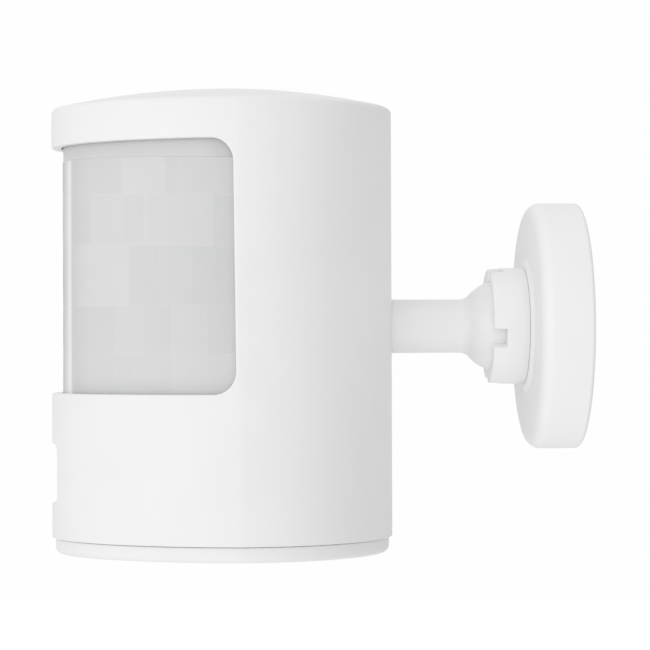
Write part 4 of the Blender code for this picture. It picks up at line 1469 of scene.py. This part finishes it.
# ================================================================ cells and springs
def build_cells():
    for name, up, x in (("battery_left", True, -9.0), ("battery_right", False, 9.0)):
        lo, hi = node_box(name)
        cx, cy = (lo[0] + hi[0]) / 2, (lo[1] + hi[1]) / 2
        length = hi[2] - lo[2]
        r, nub = 7.25, 1.3
        profile = rounded(
            [
                (0.0, length),
                (2.7, length, 0.35),
                (2.7, length - nub, 0.15),
                (5.4, length - nub, 0.1),
                (5.9, length - nub + 0.25, 0.2),
                (6.6, length - nub + 0.2, 0.3),
                (r, length - nub - 0.3, 0.4),
                (r, 0.0, 0.5),
                (5.6, 0.0, 0.2),
                (5.2, 0.25, 0.2),
                (0.0, 0.25),
            ],
            4,
        )
        skin = Skin()
        if not up:
            profile = [(q, length - h) for q, h in profile]
        lathe(
            skin,
            [(q, h + lo[2]) for q, h in profile],
            96,
            place=about_z,
            cx=cx,
            cy=cy,
        )
        obj = make(
            f"{name}_can",
            skin,
            cell_mat,
            "sensor_head",
            [name],
        )
        zones = []
        for v in obj.data.vertices:
            q = math.hypot(v.co.x / MM - cx, v.co.y / MM - cy)
            h = (v.co.z / MM - lo[2]) / length
            h = h if up else 1 - h
            if q < 6.4:
                zones.append(0.05)
            elif h > 0.74:
                zones.append(0.9)
            else:
                zones.append(0.45)
        zone = obj.data.attributes.new("zone", "FLOAT", "POINT")
        zone.data.foreach_set("value", zones)


def spring_path(cx, cy, z0, z1, r0, r1, turns):
    """A coil with closed ends."""
    count = int(turns * 36)
    out = []
    for k in range(count + 1):
        t = k / count
        lift = min(max((t * turns - 0.6) / max(turns - 1.2, 0.1), 0.0), 1.0)
        a = TAU * turns * t
        r = r0 + (r1 - r0) * t
        out.append((cx + r * math.cos(a), cy + r * math.sin(a), z0 + (z1 - z0) * lift))
    return out


def build_springs():
    lo, hi = node_box("cap_spring")
    skin = Skin()
    r = 0.35
    cx, cy = -9.0, -56.2
    tube(skin, spring_path(cx, cy, lo[2] + r, hi[2] - r, 3.2, 1.6, 2.0), r)
    make("lower_spring", skin, nickel, "base", ["cap_spring"])
    lo, hi = node_box("contact_spring_top")
    skin = Skin()
    r = 0.4
    tube(skin, spring_path(9.0, cy, lo[2] + r, hi[2] - r, 2.0, 4.4, 3.2), r)
    make("upper_spring", skin, nickel, "sensor_head", ["contact_spring_top"])
    lo, hi = node_box("antenna_coil")
    skin = Skin()
    r = 0.4
    cx, cy = (lo[0] + hi[0]) / 2, (lo[1] + hi[1]) / 2
    wind = (hi[0] - lo[0]) / 2 - r
    path = []
    turns = 5
    for k in range(turns * 36 + 1):
        t = k / (turns * 36)
        path.append(
            (
                cx + wind * math.cos(TAU * turns * t),
                cy + wind * math.sin(TAU * turns * t),
                lo[2] + r + (hi[2] - lo[2] - 2 * r) * t,
            )
        )
    tube(skin, path, r)
    make("coil", skin, wire_gold, "sensor_head", ["antenna_coil"])


build_shell()
build_lens()
build_cap()
build_disc()
build_plate()
build_collar()
build_stem()
build_liner()
build_button()
build_cells()
build_springs()

# ================================================================ carried-over CAD pieces
CARRIED = {
    "stem_washer": zinc,
    "stem_nut": zinc,
    "lens_frame": frame_grey,
    "chassis": chassis_grey,
    "chassis_screw_right": zinc,
    "chassis_screw_left": zinc,
    "main_pcb": pcb_green,
    "pcb_screw_upper": zinc,
    "pcb_screw_lower": zinc,
    "pir_stand": black_soft,
    "pir_can": nickel,
    "pir_filter": filter_dark,
    "mcu_chip": black_soft,
    "rf_shield": tin,
    "capacitor": sleeve_black,
    "status_led": led_red,
    "button_board": pcb_green,
    "tact_switch": black_soft,
    "tact_plunger": black_satin,
    "tamper_switch": black_soft,
    "tamper_plunger": tamper_white,
    "ribbon_cable": ribbon,
    "battery_tray": tray_grey,
    "contact_plate_top": nickel,
    "cap_contact": nickel,
}
for name, mat in CARRIED.items():
    node = frame["nodes"][name]
    node.data.materials.clear()
    node.data.materials.append(mat)
    node.data.polygons.foreach_set("material_index", [0] * len(node.data.polygons))
    node.data.shade_smooth()
    node.data.set_sharp_from_angle(angle=math.radians(35))
for name, node in frame["nodes"].items():
    if name not in CARRIED and not node.hide_render:
        node.data.materials.clear()
        node.data.materials.append(shell_white)

# ================================================================ stage, light and camera
KEY_SIDE = (0.80, -0.58, -0.02)
KEY_LOW, KEY_HIGH = 0.375, 1.225
BACK_HIGH = 0.66
ABOVE, BELOW = 0.30, 0.48
scene = bpy.context.scene
floor_z = -0.9
mesh = bpy.data.meshes.new("floor")
bm = bmesh.new()
bmesh.ops.create_circle(bm, cap_ends=True, segments=96, radius=9.0)
bmesh.ops.translate(bm, vec=(0, 0, floor_z), verts=bm.verts)
bm.to_mesh(mesh)
bm.free()
floor = bpy.data.objects.new("floor", mesh)
scene.collection.objects.link(floor)
floor.visible_diffuse = False
floor.visible_glossy = False
m, tree, p = new_material("floor_pale")
coords = tree.nodes.new("ShaderNodeTexCoord").outputs["Object"]
tree.links.new(
    ramp(
        tree, noise(tree, coords, 3.0), ((0.3, (0.90, 0.90, 0.90)), (0.7, (0.92, 0.92, 0.92)))
    ),
    p.inputs["Base Color"],
)
p.inputs["Roughness"].default_value = 0.9
p.inputs["Specular IOR Level"].default_value = 0.1
p.inputs["Emission Color"].default_value = (1, 1, 1, 1)
p.inputs["Emission Strength"].default_value = 0.5
mesh.materials.append(m)

world = bpy.data.worlds.new("studio")
scene.world = world
world.use_nodes = True
wt = world.node_tree
wt.nodes.clear()
out = wt.nodes.new("ShaderNodeOutputWorld")
seen = wt.nodes.new("ShaderNodeBackground")
seen.inputs["Color"].default_value = (1, 1, 1, 1)
seen.inputs["Strength"].default_value = 0.99
light = wt.nodes.new("ShaderNodeBackground")
light.inputs["Strength"].default_value = 1.0
direction = wt.nodes.new("ShaderNodeTexCoord")


def lobe(toward, start, end, low, high):
    """Radiance that rises from low to high towards a direction."""
    dot = wt.nodes.new("ShaderNodeVectorMath")
    dot.operation = "DOT_PRODUCT"
    dot.inputs[1].default_value = Vector(toward).normalized()
    wt.links.new(direction.outputs["Generated"], dot.inputs[0])
    soft = wt.nodes.new("ShaderNodeMapRange")
    soft.interpolation_type = "SMOOTHSTEP"
    soft.inputs["From Min"].default_value = start
    soft.inputs["From Max"].default_value = end
    soft.inputs["To Min"].default_value = low
    soft.inputs["To Max"].default_value = high
    wt.links.new(dot.outputs["Value"], soft.inputs["Value"])
    return soft.outputs["Result"]


total = wt.nodes.new("ShaderNodeMath")
total.operation = "ADD"
wt.links.new(lobe(KEY_SIDE, -1.0, 0.75, KEY_LOW, KEY_HIGH), total.inputs[0])
wt.links.new(lobe((-1.0, 0.35, 0.0), 0.2, 1.0, 0.0, BACK_HIGH), total.inputs[1])
strength = total.outputs["Value"]
for toward, high in (((0, 0, 1), ABOVE), ((0, 0, -1), BELOW)):
    more = wt.nodes.new("ShaderNodeMath")
    more.operation = "ADD"
    wt.links.new(strength, more.inputs[0])
    wt.links.new(lobe(toward, 0.4, 1.0, 0.0, high), more.inputs[1])
    strength = more.outputs["Value"]
wt.links.new(strength, light.inputs["Strength"])
path = wt.nodes.new("ShaderNodeLightPath")
mix = wt.nodes.new("ShaderNodeMixShader")
wt.links.new(path.outputs["Is Camera Ray"], mix.inputs[0])
wt.links.new(light.outputs["Background"], mix.inputs[1])
wt.links.new(seen.outputs["Background"], mix.inputs[2])
wt.links.new(mix.outputs["Shader"], out.inputs["Surface"])


def softbox(name, at, target, size, power):
    data = bpy.data.lights.new(name, "AREA")
    data.shape = "DISK"
    data.size = size
    data.energy = power
    lamp = bpy.data.objects.new(name, data)
    lamp.location = at
    aim = Vector(target) - Vector(at)
    lamp.rotation_euler = aim.to_track_quat("-Z", "Y").to_euler()
    scene.collection.objects.link(lamp)
    return lamp


MIDDLE = (0.0, -0.06, 0.0)
softbox("key", (0.95, -0.98, 0.1), MIDDLE, 0.8, 1.3)
softbox("top", (0.2, -0.1, 1.3), MIDDLE, 0.9, 0.12)

cam = bpy.data.cameras.new("camera")
cam.lens = 149.5
cam.sensor_width = 36.0
cam.dof.use_dof = False
cam.clip_start = 0.01
cam.clip_end = 50.0
eye = bpy.data.objects.new("camera", cam)
scene.collection.objects.link(eye)
yaw, pitch = math.radians(3.494), math.radians(0.43)
forward = Vector(
    (-math.cos(yaw) * math.cos(pitch), math.sin(yaw) * math.cos(pitch), math.sin(pitch))
)
eye.location = (0.5595, -0.0869, -0.0039)
eye.rotation_mode = "QUATERNION"
roll = math.radians(0.2)
eye.rotation_quaternion = forward.to_track_quat("-Z", "Y") @ Quaternion((0, 0, 1), -roll)
scene.camera = eye
scene.view_settings.view_transform = "Standard"
scene.view_settings.look = "None"
scene.view_settings.exposure = 0.0
scene.view_settings.gamma = 1.0
